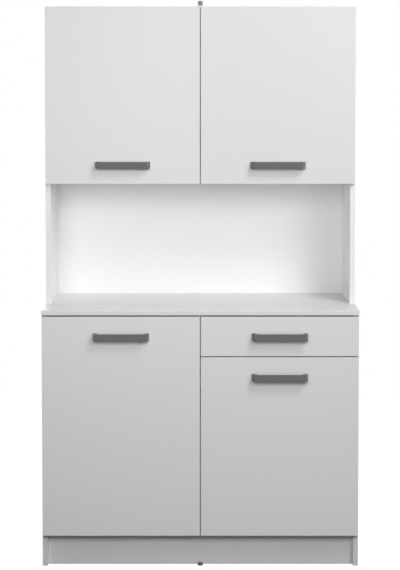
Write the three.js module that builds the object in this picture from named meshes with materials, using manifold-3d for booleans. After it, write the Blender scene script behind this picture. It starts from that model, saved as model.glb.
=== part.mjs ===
// Free-standing kitchen cabinet for a microwave oven: a base cabinet with two doors and a drawer under a
// worktop, and a hutch on top of it with an open niche and two upper doors.
// Millimetres, +Z up. The fronts face -Y. The origin is on the floor, under the middle of the whole object.

import * as THREE from 'three';
import { mergeVertices } from 'three/addons/utils/BufferGeometryUtils.js';
import Module from 'manifold-3d';

const wasm = await Module();
wasm.setup();

// ---------------------------------------------------------------- driving dimensions

const cabinet = {
  width: 1000, // over the two side panels
  board: 16, // melamine-faced board of sides, shelves, doors and worktop
  backSheet: 3, // thin back panels, nailed on from behind
  baseDepth: 450, // from the rear plane to the faces of the lower fronts
  baseSideHeight: 800, // lower side panels, floor to worktop
  hutchDepth: 300, // from the rear plane to the faces of the upper fronts
  hutchSideHeight: 960, // upper side panels, worktop to top edge
  nicheHeight: 388, // clear height of the open niche
  plinthHeight: 99, // underside of the bottom panel
  worktopEdge: 2.5, // radius of its rounded front edge
  hairline: 0.1, // left at every joint between boards
};

const front = {
  behind: 2, // gap between the carcass and the fronts
  reveal: 1.5, // set in from the outer faces and top edges of the carcass
  joint: 3, // gap between two neighbouring fronts
  underWorktop: 3.5, // gap above the lower fronts
  drawerHeight: 125,
  edgeRadius: 0.8,
};

const plinth = { setBack: 16, floorGap: 1 };
const pinHole = { radius: 2.5, depth: 7, in: 37, pitch: 32 }; // rows of holes for the shelf pins
const foot = { width: 16, reach: 16, height: 7, bevel: 2, wall: 3, wrap: 6 }; // reach is ahead of the plinth
const shelf = { setBack: 20, endGap: 1, lowerLeft: 440, lowerRight: 372, upperOffMiddle: 6 };

const drawerBox = {
  wall: 12, // folded side and back boards
  aboveFrontEdge: 16, // underside of the box over the lower edge of its front
  belowFrontTop: 17, // upper edge of the box under the upper edge of its front
  rearGap: 80.9, // from the box to the back panel
  sheet: 3,
  sheetUp: 10, // underside of the bottom sheet over the underside of the box
  groove: 6,
  play: 0.3, // round the bottom sheet in its groove
};

// One side of a roller runner. u is measured from the carcass wall towards the drawer.
const runner = {
  space: 12.5, // between the carcass wall and the drawer box
  sheet: 1.2, // steel
  startIn: 4, // front end of the rail behind the carcass front
  rearGap: 75, // from the rail to the back panel
  railHeight: 30,
  railFlange: 10.2, // reach of the rail's floor
  railLip: 4, // upturned edge of that floor
  footDrop: 7.2, // underside of the drawer box over the underside of the rail
  footReach: 11.5, // flange that carries the drawer box
  rollerRadius: 7,
  rollerWidth: 6.4,
  axleRadius: 2,
  rollerGap: 0.8, // between a roller and the rail's wall
  slideRollerWidth: 6,
  trackGap: 1, // between the drawer's track and the rail's wall
  play: 0.3,
  frontRollerIn: 22, // centre of the rail's roller behind the carcass front
  rearRollerIn: 12, // centre of the drawer's roller ahead of the box's rear end
};

// Concealed hinge. x is measured inwards from the outer face of the side panel, y forwards from the
// carcass front, both with the door shut.
const hinge = {
  cupRadius: 17.2,
  boreRadius: 17.5,
  boreDepth: 11.5,
  boreClear: 0.3, // from the cup to the bore's floor
  cupEdge: 5, // bore to the door's edge
  cupWall: 0.7,
  cupFloor: 1,
  wing: 0.9, // sheet of the cup's fixing flange
  wingHeight: 56,
  wingWidth: 20,
  wingCorner: 6,
  collar: 2,
  screwSpacing: 45,
  screwRadius: 2.2,
  cupPivot: new THREE.Vector2(10.65, 5.7),
  armPivot: new THREE.Vector2(27.9, -2.55),
  linkWaist: [new THREE.Vector2(14.8, 9.9), new THREE.Vector2(22.5, 7.4)], // bends of the curved link
  linkSheet: 2.4,
  linkWidth: 10,
  pinRadius: 1.1,
  pinPlay: 0.25,
  eyeWall: 0.7,
  armLength: 62, // from the arm's pivot to its rear end
  armSheet: 1.4,
  armGap: 1.2, // between the link and each cheek of the arm
  noseRadius: 3.2,
  noseLength: 9, // level part of each cheek behind the pivot
  skirtFrom: 22, // where the cheeks come down on the plate, behind the pivot
  webFrom: 5, // front end of the arm's back, behind the pivot
  coreFrom: 26, // front end of the block between the cheeks, behind the pivot
  coreShort: 4, // from the block to the arm's rear end
  plateSheet: 2.5,
  plateHeight: 52,
  plateLength: 22,
  plateCorner: 5,
  plateScrews: 32, // between the plate's two screws
  plateIn: 37, // drilling line of the plate's screws, behind the carcass front
  fromEnd: 90, // from the door's top or bottom edge
};

const handle = {
  length: 178, // over the feet, at the door
  barLength: 163, // over the bar, in front
  standOff: 26,
  bar: 7, // thickness of the bar
  foot: 15,
  legShare: 0.6, // thickness of a leg over the width of its foot
  height: 24,
  bend: 5, // radius of the outer bends
  innerBend: 3, // radius of the inner bends
  edge: 1.6, // rounded long edges
  lowerFromTop: 64, // centre below the top edge of a lower front
  upperFromBottom: 60, // centre above the bottom edge of an upper door
};

const bracket = { width: 18, sheet: 2, rise: 34, reach: 26, hole: 2.6, holeUp: 26 };

// ---------------------------------------------------------------- places that follow from them

const side = cabinet.width / 2;
const inner = side - cabinet.board;
const halfBoard = cabinet.board / 2;
const rearY = (cabinet.baseDepth + handle.standOff + cabinet.hairline) / 2;
const sheetFrontY = rearY - cabinet.backSheet;
const baseFaceY = rearY - cabinet.baseDepth;
const baseFrontY = baseFaceY + cabinet.board + front.behind;
const hutchFaceY = rearY - cabinet.hutchDepth;
const hutchFrontY = hutchFaceY + cabinet.board + front.behind;

const bottomTop = cabinet.plinthHeight + cabinet.board;
const worktopTop = cabinet.baseSideHeight + cabinet.board;
const hutchTop = worktopTop + cabinet.hutchSideHeight;
const cupboardFloor = worktopTop + cabinet.nicheHeight;
const cupboardTop = cupboardFloor + cabinet.board;

const lowerFrontBottom = cabinet.plinthHeight + front.reveal;
const lowerFrontTop = cabinet.baseSideHeight - front.underWorktop;
const drawerFrontBottom = lowerFrontTop - front.drawerHeight;
const rightDoorTop = drawerFrontBottom - front.joint;
const upperFrontBottom = cupboardFloor + front.reveal;
const upperFrontTop = hutchTop - front.reveal;
const frontWidth = side - front.reveal - front.joint / 2;

const roundSteps = 20; // sides of a bore or cup
const smallSteps = 10; // sides of a pin or screw hole
const eyeSteps = 12; // sides of a link's eye or a roller
const holeSteps = 7; // sides of a shelf-pin hole
const arcSteps = 3;
const linkSteps = 9; // lengths of the curved link
const bevelSteps = 2;
const bite = 0.5; // how far shapes reach into each other before they are joined
const overrun = 1; // how far a cutting tool reaches past the face it cuts

// ---------------------------------------------------------------- finishes

const finish = (colour, roughness, metalness = 0) =>
  new THREE.MeshStandardMaterial({ color: colour, roughness, metalness });
const white = finish(0xeeeeee, 0.45);
const paleSheet = finish(0xf1f1f0, 0.6);
const graphite = finish(0x5b5b5d, 0.4);
const nickel = finish(0xb9bbbd, 0.32, 0.9);
const coated = finish(0xdedede, 0.4, 0.2);
const plastic = finish(0x3b3b3d, 0.5);

const model = new THREE.Group();

/** Adds a geometry to a group as one named piece. */
function piece(group, name, geometry, material) {
  const mesh = new THREE.Mesh(geometry, material);
  mesh.name = name;
  group.add(mesh);
  return mesh;
}

/** A group with its own origin. */
function placed(x, y, z) {
  const group = new THREE.Group();
  group.position.set(x, y, z);
  model.add(group);
  return group;
}

// ---------------------------------------------------------------- shaping

/** Closed triangle mesh as a solid that can be cut and joined. */
function toSolid(geometry) {
  const bare = geometry.index ? geometry.clone() : geometry;
  bare.deleteAttribute('normal');
  bare.deleteAttribute('uv');
  const merged = mergeVertices(bare, 1e-4);
  const mesh = new wasm.Mesh({
    numProp: 3,
    vertProperties: new Float32Array(merged.attributes.position.array),
    triVerts: new Uint32Array(merged.index.array),
  });
  return new wasm.Manifold(mesh);
}

/** Solid back to a geometry. */
function fromSolid(solid) {
  const mesh = solid.getMesh();
  const geometry = new THREE.BufferGeometry();
  geometry.setAttribute('position', new THREE.BufferAttribute(new Float32Array(mesh.vertProperties), 3));
  geometry.setIndex(new THREE.BufferAttribute(new Uint32Array(mesh.triVerts), 1));
  geometry.computeVertexNormals();
  return geometry;
}

const join = (first, ...rest) => fromSolid(rest.reduce((sum, next) => sum.add(toSolid(next)), toSolid(first)));
const within = (body, limit) => fromSolid(toSolid(body).intersect(toSolid(limit)));
const cut = (body, ...tools) => fromSolid(tools.reduce((left, tool) => left.subtract(toSolid(tool)), toSolid(body)));

/** Points of a path with its curves divided, and no point twice. */
function cleanPoints(path) {
  const points = path.getPoints(arcSteps);
  return points.filter((point, i) => point.distanceTo(points.at(i - 1)) > 1e-3);
}

/** Outline pushed along Z, from one level to another. */
function alongZ(shape, from, to, bevel = 0) {
  const clean = new THREE.Shape(cleanPoints(shape));
  clean.holes = shape.holes.map((hole) => new THREE.Path(cleanPoints(hole)));
  const geometry = new THREE.ExtrudeGeometry(clean, {
    depth: to - from - 2 * bevel,
    bevelEnabled: bevel > 0,
    bevelThickness: bevel,
    bevelSize: bevel,
    bevelOffset: -bevel,
    bevelSegments: bevelSteps,
  });
  return geometry.translate(0, 0, from + bevel);
}

const xzIntoY = new THREE.Matrix4().makeBasis(
  new THREE.Vector3(1, 0, 0), new THREE.Vector3(0, 0, 1), new THREE.Vector3(0, -1, 0));
const yzIntoX = new THREE.Matrix4().makeBasis(
  new THREE.Vector3(0, 1, 0), new THREE.Vector3(0, 0, 1), new THREE.Vector3(1, 0, 0));

/** Outline drawn in X and Z, pushed along Y from one plane to another. */
const alongY = (shape, from, to, bevel = 0) => alongZ(shape, -to, -from, bevel).applyMatrix4(xzIntoY);

/** Outline drawn in Y and Z, pushed along X from one plane to another. */
const alongX = (shape, from, to, bevel = 0) => alongZ(shape, from, to, bevel).applyMatrix4(yzIntoX);

const outline = (points) => new THREE.Shape(points.map(([x, y]) => new THREE.Vector2(x, y)));
const rectangle = (x0, x1, y0, y1) => outline([[x0, y0], [x1, y0], [x1, y1], [x0, y1]]);

/** Outline of a round screw or pin hole. */
function roundHole(x, y, radius) {
  const corners = Array.from({ length: smallSteps }, (_, i) => (2 * Math.PI * i) / smallSteps);
  return new THREE.Path(corners.map((turn) =>
    new THREE.Vector2(x + radius * Math.cos(turn), y + radius * Math.sin(turn))));
}

/** Rectangle with the same radius on each corner. */
function roundedRectangle(x0, x1, y0, y1, radius) {
  const shape = new THREE.Shape();
  shape.moveTo(x0 + radius, y0);
  shape.lineTo(x1 - radius, y0);
  shape.absarc(x1 - radius, y0 + radius, radius, -Math.PI / 2, 0, false);
  shape.lineTo(x1, y1 - radius);
  shape.absarc(x1 - radius, y1 - radius, radius, 0, Math.PI / 2, false);
  shape.lineTo(x0 + radius, y1);
  shape.absarc(x0 + radius, y1 - radius, radius, Math.PI / 2, Math.PI, false);
  shape.lineTo(x0, y0 + radius);
  shape.absarc(x0 + radius, y0 + radius, radius, Math.PI, 1.5 * Math.PI, false);
  return shape;
}

/** Round bar or disc with its axis along X, Y or Z. */
function rod(axis, radius, from, to, a, b, steps = smallSteps) {
  const bar = new THREE.CylinderGeometry(radius, radius, to - from, steps).translate(0, (from + to) / 2, 0);
  if (axis === 'X') return bar.rotateZ(-Math.PI / 2).translate(0, a, b);
  if (axis === 'Z') return bar.rotateX(Math.PI / 2).translate(a, b, 0);
  return bar.translate(a, 0, b);
}

/** Plain board between two corners. */
function board([x0, x1], [y0, y1], [z0, z1]) {
  return new THREE.BoxGeometry(x1 - x0, y1 - y0, z1 - z0)
    .translate((x0 + x1) / 2, (y0 + y1) / 2, (z0 + z1) / 2);
}

// ---------------------------------------------------------------- carcasses

/** Tools for two rows of pin holes, drilled along X from faceX into the board on that side (way is 1 or -1). */
function pinHoles(faceX, way, frontY, shelfZ) {
  const ends = [faceX - way * overrun, faceX + way * pinHole.depth].sort((a, b) => a - b);
  const rows = [frontY + pinHole.in, sheetFrontY - pinHole.in];
  const levels = [-1, 0, 1].map((step) => shelfZ - pinHole.radius + step * pinHole.pitch);
  return rows.flatMap((y) => levels.map((z) => rod('X', pinHole.radius, ...ends, y, z, holeSteps)));
}

/** Two side panels, left and right, drilled for a shelf at the height given for each. */
function sidePanels(prefix, frontY, bottomZ, topZ, shelves) {
  const reach = [frontY, sheetFrontY - cabinet.hairline];
  const rise = [bottomZ, topZ];
  piece(model, `${prefix}_left_side`,
    cut(board([-side, -inner], reach, rise), ...pinHoles(-inner, -1, frontY, shelves.left)), white);
  piece(model, `${prefix}_right_side`,
    cut(board([inner, side], reach, rise), ...pinHoles(inner, 1, frontY, shelves.right)), white);
}

/** Level board between the two side panels. */
function levelBoard(name, frontY, bottomZ) {
  const gap = cabinet.hairline;
  const span = [-inner + gap, inner - gap];
  piece(model, name, board(span, [frontY, sheetFrontY - gap], [bottomZ, bottomZ + cabinet.board]), white);
}

/** Upright board in the middle, between two level boards, drilled for a shelf on each side. */
function partition(name, frontY, bottomZ, topZ, shelves) {
  const gap = cabinet.hairline;
  const plain = board([-halfBoard, halfBoard], [frontY, sheetFrontY - gap], [bottomZ + gap, topZ - gap]);
  piece(model, name, cut(plain,
    ...pinHoles(-halfBoard, 1, frontY, shelves.left), ...pinHoles(halfBoard, -1, frontY, shelves.right)), white);
}

/** Loose shelf between the partition and one side panel. */
function looseShelf(name, hand, frontY, bottomZ) {
  const ends = [halfBoard + shelf.endGap, inner - shelf.endGap].map((x) => x * hand).sort((a, b) => a - b);
  const reach = [frontY + shelf.setBack, sheetFrontY - shelf.endGap];
  piece(model, name, board(ends, reach, [bottomZ, bottomZ + cabinet.board]), white);
}

function baseCarcass() {
  const gap = cabinet.hairline;
  const shelves = { left: shelf.lowerLeft, right: shelf.lowerRight };
  sidePanels('base', baseFrontY, 0, cabinet.baseSideHeight - gap, shelves);
  levelBoard('base_bottom', baseFrontY, cabinet.plinthHeight);
  partition('base_partition', baseFrontY, bottomTop, cabinet.baseSideHeight, shelves);
  looseShelf('base_shelf_left', -1, baseFrontY, shelves.left);
  looseShelf('base_shelf_right', 1, baseFrontY, shelves.right);

  const plinthY = baseFrontY + plinth.setBack;
  const plinthSpan = [-inner + gap, inner - gap];
  piece(model, 'plinth',
    board(plinthSpan, [plinthY, plinthY + cabinet.board], [plinth.floorGap, cabinet.plinthHeight - gap]), white);
  piece(model, 'base_back',
    board([-side + front.reveal, side - front.reveal], [sheetFrontY, rearY],
      [cabinet.plinthHeight, cabinet.baseSideHeight - gap]), paleSheet);

  // Rounded front edge, square at the wall.
  const radius = cabinet.worktopEdge;
  const section = new THREE.Shape();
  const bottomZ = cabinet.baseSideHeight;
  section.moveTo(rearY, bottomZ);
  section.lineTo(rearY, worktopTop);
  section.lineTo(baseFaceY + radius, worktopTop);
  section.absarc(baseFaceY + radius, worktopTop - radius, radius, Math.PI / 2, Math.PI, false);
  section.lineTo(baseFaceY, bottomZ + radius);
  section.absarc(baseFaceY + radius, bottomZ + radius, radius, Math.PI, 1.5 * Math.PI, false);
  piece(model, 'worktop', alongX(section, -side, side), white);
}

/** Clip-on glide that carries the middle of the plinth: a block ahead of the board and a hook behind it. */
function centreFoot() {
  const faceY = baseFrontY + plinth.setBack;
  const gap = cabinet.hairline;
  const outerY = faceY - gap - foot.reach;
  const underZ = plinth.floorGap - gap;
  const rearEnd = faceY + cabinet.board + gap + foot.wall;
  const section = outline([
    [outerY, 0], [rearEnd, 0], [rearEnd, foot.wrap + underZ], [rearEnd - foot.wall, foot.wrap + underZ],
    [rearEnd - foot.wall, underZ], [faceY - gap, underZ], [faceY - gap, foot.height],
    [outerY + foot.bevel, foot.height], [outerY, foot.height - foot.bevel],
  ]);
  piece(model, 'centre_foot', alongX(section, -foot.width / 2, foot.width / 2), plastic);
}

function hutchCarcass() {
  const gap = cabinet.hairline;
  const clear = hutchTop - cabinet.board - cupboardTop;
  const shelfZ = cupboardTop + (clear - cabinet.board) / 2 + shelf.upperOffMiddle;
  const shelves = { left: shelfZ, right: shelfZ };
  sidePanels('hutch', hutchFrontY, worktopTop + gap, hutchTop, shelves);
  levelBoard('hutch_top', hutchFrontY, hutchTop - cabinet.board);
  levelBoard('hutch_bottom', hutchFrontY, cupboardFloor);
  partition('hutch_partition', hutchFrontY, cupboardTop, hutchTop - cabinet.board, shelves);
  looseShelf('hutch_shelf_left', -1, hutchFrontY, shelves.left);
  looseShelf('hutch_shelf_right', 1, hutchFrontY, shelves.right);
  piece(model, 'hutch_back',
    board([-side + front.reveal, side - front.reveal], [sheetFrontY, rearY],
      [worktopTop + gap, hutchTop - front.reveal]), paleSheet);
}

/** Steel angle on the top panel that screws to the wall. */
function wallBracket() {
  const { width, sheet, rise, reach, hole, holeUp } = bracket;
  const base = hutchTop + cabinet.hairline;
  const section = outline([
    [rearY - reach, base], [rearY, base], [rearY, base + rise],
    [rearY - sheet, base + rise], [rearY - sheet, base + sheet], [rearY - reach, base + sheet],
  ]);
  const angle = alongX(section, -width / 2, width / 2);
  const wallHole = rod('Y', hole, rearY - 2 * sheet, rearY + sheet, 0, base + holeUp);
  const topHole = rod('Z', hole, base - sheet, base + 2 * sheet, 0, rearY - reach / 2);
  piece(model, 'wall_bracket', cut(angle, wallHole, topHole), nickel);
}

// ---------------------------------------------------------------- fronts and handles

/** Board of a front, with softly rounded edges and a blind bore for each hinge cup. */
function frontBoard(x0, x1, z0, z1, faceY, bores = []) {
  const shape = rectangle(x0, x1, z0, z1);
  const slab = alongY(shape, faceY, faceY + cabinet.board, front.edgeRadius);
  const backY = faceY + cabinet.board;
  const drills = bores.map(([x, z]) =>
    rod('Y', hinge.boreRadius, backY - hinge.boreDepth, backY + overrun, x, z, roundSteps));
  return bores.length ? cut(slab, ...drills) : slab;
}

/** Bow handle: two slanting legs and a flat bar, drawn from above and pushed up its height. */
function bowHandle(name, x, z, faceY) {
  const half = handle.length / 2;
  const barHalf = handle.barLength / 2;
  const out = -handle.standOff;
  const under = out + handle.bar;
  const slope = (half - barHalf) / handle.standOff;
  const innerFoot = half - handle.foot;
  const innerEnd = barHalf - handle.legShare * handle.foot - slope * handle.bar;
  const turn = handle.innerBend;
  const turnX = innerEnd + ((innerFoot - innerEnd) * turn) / -under;
  const shape = new THREE.Shape();
  shape.moveTo(-half, 0);
  shape.lineTo(-barHalf - slope * handle.bend, out + handle.bend);
  shape.quadraticCurveTo(-barHalf, out, -barHalf + handle.bend, out);
  shape.lineTo(barHalf - handle.bend, out);
  shape.quadraticCurveTo(barHalf, out, barHalf + slope * handle.bend, out + handle.bend);
  shape.lineTo(half, 0);
  shape.lineTo(innerFoot, 0);
  shape.lineTo(turnX, under + turn);
  shape.quadraticCurveTo(innerEnd, under, innerEnd - turn, under);
  shape.lineTo(-innerEnd + turn, under);
  shape.quadraticCurveTo(-innerEnd, under, -turnX, under + turn);
  shape.lineTo(-innerFoot, 0);
  const bow = alongZ(shape, -handle.height / 2, handle.height / 2, handle.edge);
  piece(placed(x, faceY - cabinet.hairline, z), name, bow, graphite);
}

// ---------------------------------------------------------------- concealed hinges

/** Points of the hinge's plan for a left-hand (1) or right-hand (-1) door, in world X and Y. */
const planPoint = (hand, frontY) => (x, y) => new THREE.Vector2(hand * (x - side), frontY - y);

/** Curved link: an outline of even thickness along a smooth path, with a round eye at each end. */
function linkOutline(hand, frontY) {
  const at = planPoint(hand, frontY);
  const path = [hinge.cupPivot, ...hinge.linkWaist, hinge.armPivot].map(({ x, y }) => at(x, y));
  const curve = new THREE.SplineCurve(path);
  const left = [];
  const right = [];
  for (let i = 0; i <= linkSteps; i += 1) {
    const centre = curve.getPoint(i / linkSteps);
    const along = curve.getTangent(i / linkSteps);
    const offset = new THREE.Vector2(-along.y, along.x).multiplyScalar(hinge.linkSheet / 2);
    left.push(centre.clone().add(offset));
    right.push(centre.clone().sub(offset));
  }
  return new THREE.Shape([...left, ...right.reverse()]);
}

/** Link of one hinge: eye on the cup's pin, curved body, and its own pin in the arm's cheeks. */
function hingeLink(hand, frontY, z) {
  const at = planPoint(hand, frontY);
  const eye = at(hinge.cupPivot.x, hinge.cupPivot.y);
  const pivot = at(hinge.armPivot.x, hinge.armPivot.y);
  const half = hinge.linkWidth / 2;
  const holeRadius = hinge.pinRadius + hinge.pinPlay;
  const pinReach = half + hinge.armGap + hinge.armSheet;
  const body = join(
    alongZ(linkOutline(hand, frontY), z - half, z + half),
    rod('Z', holeRadius + hinge.eyeWall, z - half, z + half, eye.x, eye.y, eyeSteps),
    rod('Z', holeRadius + hinge.eyeWall, z - half, z + half, pivot.x, pivot.y, eyeSteps),
    rod('Z', hinge.pinRadius, z - pinReach, z + pinReach, pivot.x, pivot.y),
  );
  return cut(body, rod('Z', holeRadius, z - half - overrun, z + half + overrun, eye.x, eye.y));
}

/** Cup pressed into the door: a shell of revolution with its flange, two screw wings and the link's pin. */
function hingeCup(hand, frontY, z) {
  const at = planPoint(hand, frontY);
  const centreX = front.reveal + hinge.cupEdge + hinge.boreRadius;
  const mouth = front.behind;
  const base = mouth + hinge.boreDepth - hinge.boreClear;
  const shellInside = hinge.cupRadius - hinge.cupWall;
  const lip = mouth - hinge.wing;
  const profile = [
    [0, base], [hinge.cupRadius, base], [hinge.cupRadius, mouth - cabinet.hairline],
    [hinge.cupRadius + hinge.collar, mouth - cabinet.hairline], [hinge.cupRadius + hinge.collar, lip],
    [shellInside, lip], [shellInside, base - hinge.cupFloor], [0, base - hinge.cupFloor],
  ].map(([radius, y]) => new THREE.Vector2(radius, -y));
  const centre = at(centreX, 0);
  const shell = new THREE.LatheGeometry(profile, roundSteps).translate(centre.x, frontY, z);

  const wings = roundedRectangle(centre.x - hinge.wingWidth / 2, centre.x + hinge.wingWidth / 2,
    z - hinge.wingHeight / 2, z + hinge.wingHeight / 2, hinge.wingCorner);
  for (const way of [-1, 1]) {
    wings.holes.push(roundHole(centre.x, z + way * hinge.screwSpacing / 2, hinge.screwRadius));
  }
  const flange = cut(
    alongY(wings, frontY - mouth + cabinet.hairline, frontY - lip),
    rod('Y', shellInside, frontY - mouth - overrun, frontY, centre.x, z, roundSteps),
  );

  // The pin crosses the cup and ends inside its wall.
  const pivot = at(hinge.cupPivot.x, hinge.cupPivot.y);
  const pin = within(
    rod('Z', hinge.pinRadius, z - hinge.cupRadius, z + hinge.cupRadius, pivot.x, pivot.y),
    rod('Y', hinge.cupRadius - hinge.cupWall / 2, frontY - base, frontY, centre.x, z, roundSteps),
  );
  return join(shell, flange, pin);
}

/** Arm and mounting plate: a pressed channel round the link's pin, on a plate screwed to the side panel. */
function hingeArm(hand, frontY, z) {
  const at = planPoint(hand, frontY);
  const { x: pivotX, y: pivotY } = hinge.armPivot;
  const cheekInside = hinge.linkWidth / 2 + hinge.armGap;
  const cheekOutside = cheekInside + hinge.armSheet;
  const wallX = cabinet.board + cabinet.hairline;
  const plateTop = wallX + hinge.plateSheet;
  const backX = pivotX + hinge.noseRadius;
  const rearEnd = pivotY - hinge.armLength;
  const nose = hinge.noseRadius;
  const noseCorner = nose * Math.SQRT1_2;

  const cheek = new THREE.Shape([
    at(backX, pivotY), at(backX, rearEnd), at(plateTop - bite, rearEnd),
    at(plateTop - bite, pivotY - hinge.skirtFrom), at(pivotX - nose, pivotY - hinge.noseLength),
    at(pivotX - nose, pivotY), at(pivotX - noseCorner, pivotY + noseCorner), at(pivotX, pivotY + nose),
    at(pivotX + noseCorner, pivotY + noseCorner),
  ]);
  const pivot = at(pivotX, pivotY);
  cheek.holes.push(roundHole(pivot.x, pivot.y, hinge.pinRadius + hinge.pinPlay));
  const web = new THREE.Shape([
    at(backX, pivotY - hinge.webFrom), at(backX, rearEnd), at(backX - hinge.armSheet, rearEnd),
    at(backX - hinge.armSheet, pivotY - hinge.webFrom),
  ]);
  const coreX = [backX - hinge.armSheet + bite, plateTop - bite];
  const coreY = [pivotY - hinge.coreFrom, rearEnd + hinge.coreShort];
  const core = new THREE.Shape([
    at(coreX[0], coreY[0]), at(coreX[0], coreY[1]), at(coreX[1], coreY[1]), at(coreX[1], coreY[0]),
  ]);
  const plateY = [frontY + hinge.plateIn - hinge.plateLength / 2, frontY + hinge.plateIn + hinge.plateLength / 2];
  const plateX = [hand * (wallX - side), hand * (plateTop - side)].sort((a, b) => a - b);
  const wing = roundedRectangle(...plateY, z - hinge.plateHeight / 2, z + hinge.plateHeight / 2,
    hinge.plateCorner);
  for (const way of [-1, 1]) {
    wing.holes.push(roundHole(frontY + hinge.plateIn, z + way * hinge.plateScrews / 2, hinge.screwRadius));
  }
  return join(
    alongX(wing, ...plateX),
    alongZ(core, z - cheekInside - bite, z + cheekInside + bite),
    alongZ(web, z - cheekOutside, z + cheekOutside),
    alongZ(cheek, z - cheekOutside, z - cheekInside),
    alongZ(cheek, z + cheekInside, z + cheekOutside),
  );
}

/** Door with its handle and two hinges. hand is 1 for a door hung on the left, -1 on the right. */
function hungDoor({ name, hand, faceY, z0, z1, handleZ }) {
  const frontY = faceY + cabinet.board + front.behind;
  const hingeEdge = -hand * (side - front.reveal);
  const freeEdge = -hand * front.joint / 2;
  const boreX = -hand * (side - front.reveal - hinge.cupEdge - hinge.boreRadius);
  const levels = { bottom: z0 + hinge.fromEnd, top: z1 - hinge.fromEnd };
  const bores = Object.values(levels).map((z) => [boreX, z]);
  const [x0, x1] = [hingeEdge, freeEdge].sort((a, b) => a - b);
  piece(model, `${name}_door`, frontBoard(x0, x1, z0, z1, faceY, bores), white);
  bowHandle(`${name}_handle`, (hingeEdge + freeEdge) / 2, handleZ, faceY);
  for (const [level, z] of Object.entries(levels)) {
    piece(model, `${name}_${level}_hinge_cup`, hingeCup(hand, frontY, z), nickel);
    piece(model, `${name}_${level}_hinge_link`, hingeLink(hand, frontY, z), nickel);
    piece(model, `${name}_${level}_hinge_arm`, hingeArm(hand, frontY, z), nickel);
  }
}

// ---------------------------------------------------------------- drawer

const bayCentre = (halfBoard + inner) / 2;
const boxHalf = (inner - halfBoard) / 2 - runner.space;
const boxBottom = drawerFrontBottom + drawerBox.aboveFrontEdge;
const boxFrontY = baseFaceY + cabinet.board + cabinet.hairline;
const boxRearY = sheetFrontY - drawerBox.rearGap;
const boxHeight = front.drawerHeight - drawerBox.aboveFrontEdge - drawerBox.belowFrontTop;

/** Folded side and back boards: a U drawn from above, with a groove for the bottom sheet. */
function drawer() {
  const half = frontWidth / 2;
  const centre = front.joint / 2 + half;
  piece(model, 'drawer_front',
    frontBoard(centre - half, centre + half, drawerFrontBottom, lowerFrontTop, baseFaceY), white);
  bowHandle('drawer_handle', centre, lowerFrontTop - handle.lowerFromTop, baseFaceY);

  const { wall, sheet, sheetUp, groove, play } = drawerBox;
  const left = bayCentre - boxHalf;
  const right = bayCentre + boxHalf;
  const wrap = outline([
    [left, boxFrontY], [left, boxRearY], [right, boxRearY], [right, boxFrontY],
    [right - wall, boxFrontY], [right - wall, boxRearY - wall], [left + wall, boxRearY - wall],
    [left + wall, boxFrontY],
  ]);
  const sheetZ = boxBottom + sheetUp;
  const slot = board([left + wall - groove, right - wall + groove], [boxFrontY - overrun, boxRearY - wall + groove],
    [sheetZ, sheetZ + sheet + 2 * play]);
  piece(model, 'drawer_wrap', cut(alongZ(wrap, boxBottom, boxBottom + boxHeight), slot), white);
  const inset = wall - groove + play;
  piece(model, 'drawer_bottom', board([left + inset, right - inset], [boxFrontY, boxRearY - inset],
    [sheetZ + play, sheetZ + play + sheet]), paleSheet);
}

/** Pair of runner halves on one side of the drawer. hand is 1 on the partition, -1 on the side panel. */
function drawerRunner(label, hand) {
  const wallX = hand > 0 ? halfBoard : inner;
  const u = (distance) => wallX + hand * distance;
  const sheet = runner.sheet;
  const gap = cabinet.hairline;
  const railZ = boxBottom - runner.footDrop - gap;
  const rollerZ = railZ + sheet + runner.rollerRadius + runner.play;
  const trackZ = rollerZ + runner.rollerRadius + runner.play;
  const railTop = railZ + runner.railHeight;
  const railY = [baseFrontY + runner.startIn, sheetFrontY - runner.rearGap];

  const rail = outline([
    [u(gap), railZ], [u(runner.railFlange), railZ], [u(runner.railFlange), railZ + runner.railLip],
    [u(runner.railFlange - sheet), railZ + runner.railLip], [u(runner.railFlange - sheet), railZ + sheet],
    [u(gap + sheet), railZ + sheet], [u(gap + sheet), railTop], [u(gap), railTop],
  ]);
  const rollerFrom = gap + sheet + runner.rollerGap;
  const rollerTo = rollerFrom + runner.rollerWidth;
  const across = (from, to) => [u(from), u(to)].sort((a, b) => a - b);
  const railRollerY = baseFrontY + runner.frontRollerIn;
  piece(model, `cabinet_runner_${label}`, join(
    alongY(rail, ...railY),
    rod('X', runner.rollerRadius, ...across(rollerFrom, rollerTo), railRollerY, rollerZ, eyeSteps),
    rod('X', runner.axleRadius, ...across(gap + sheet / 2, rollerFrom + bite), railRollerY, rollerZ),
  ), coated);

  const webFrom = runner.space - gap - sheet;
  const webTo = runner.space - gap;
  const footZ = boxBottom - gap - sheet;
  const slide = outline([
    [u(webFrom), footZ], [u(webTo + runner.footReach), footZ], [u(webTo + runner.footReach), footZ + sheet],
    [u(webTo), footZ + sheet], [u(webTo), trackZ + sheet], [u(gap + sheet + runner.trackGap), trackZ + sheet],
    [u(gap + sheet + runner.trackGap), trackZ], [u(webFrom), trackZ],
  ]);
  const slideRollerTo = rollerFrom + runner.slideRollerWidth;
  const slideRollerY = boxRearY - runner.rearRollerIn;
  piece(model, `drawer_runner_${label}`, join(
    alongY(slide, boxFrontY, boxRearY),
    rod('X', runner.rollerRadius, ...across(rollerFrom, slideRollerTo), slideRollerY, rollerZ, eyeSteps),
    rod('X', runner.axleRadius, ...across(slideRollerTo - bite, webFrom + sheet / 2), slideRollerY, rollerZ),
  ), coated);
}

// ---------------------------------------------------------------- assembly

baseCarcass();
centreFoot();
hutchCarcass();
wallBracket();

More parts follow.
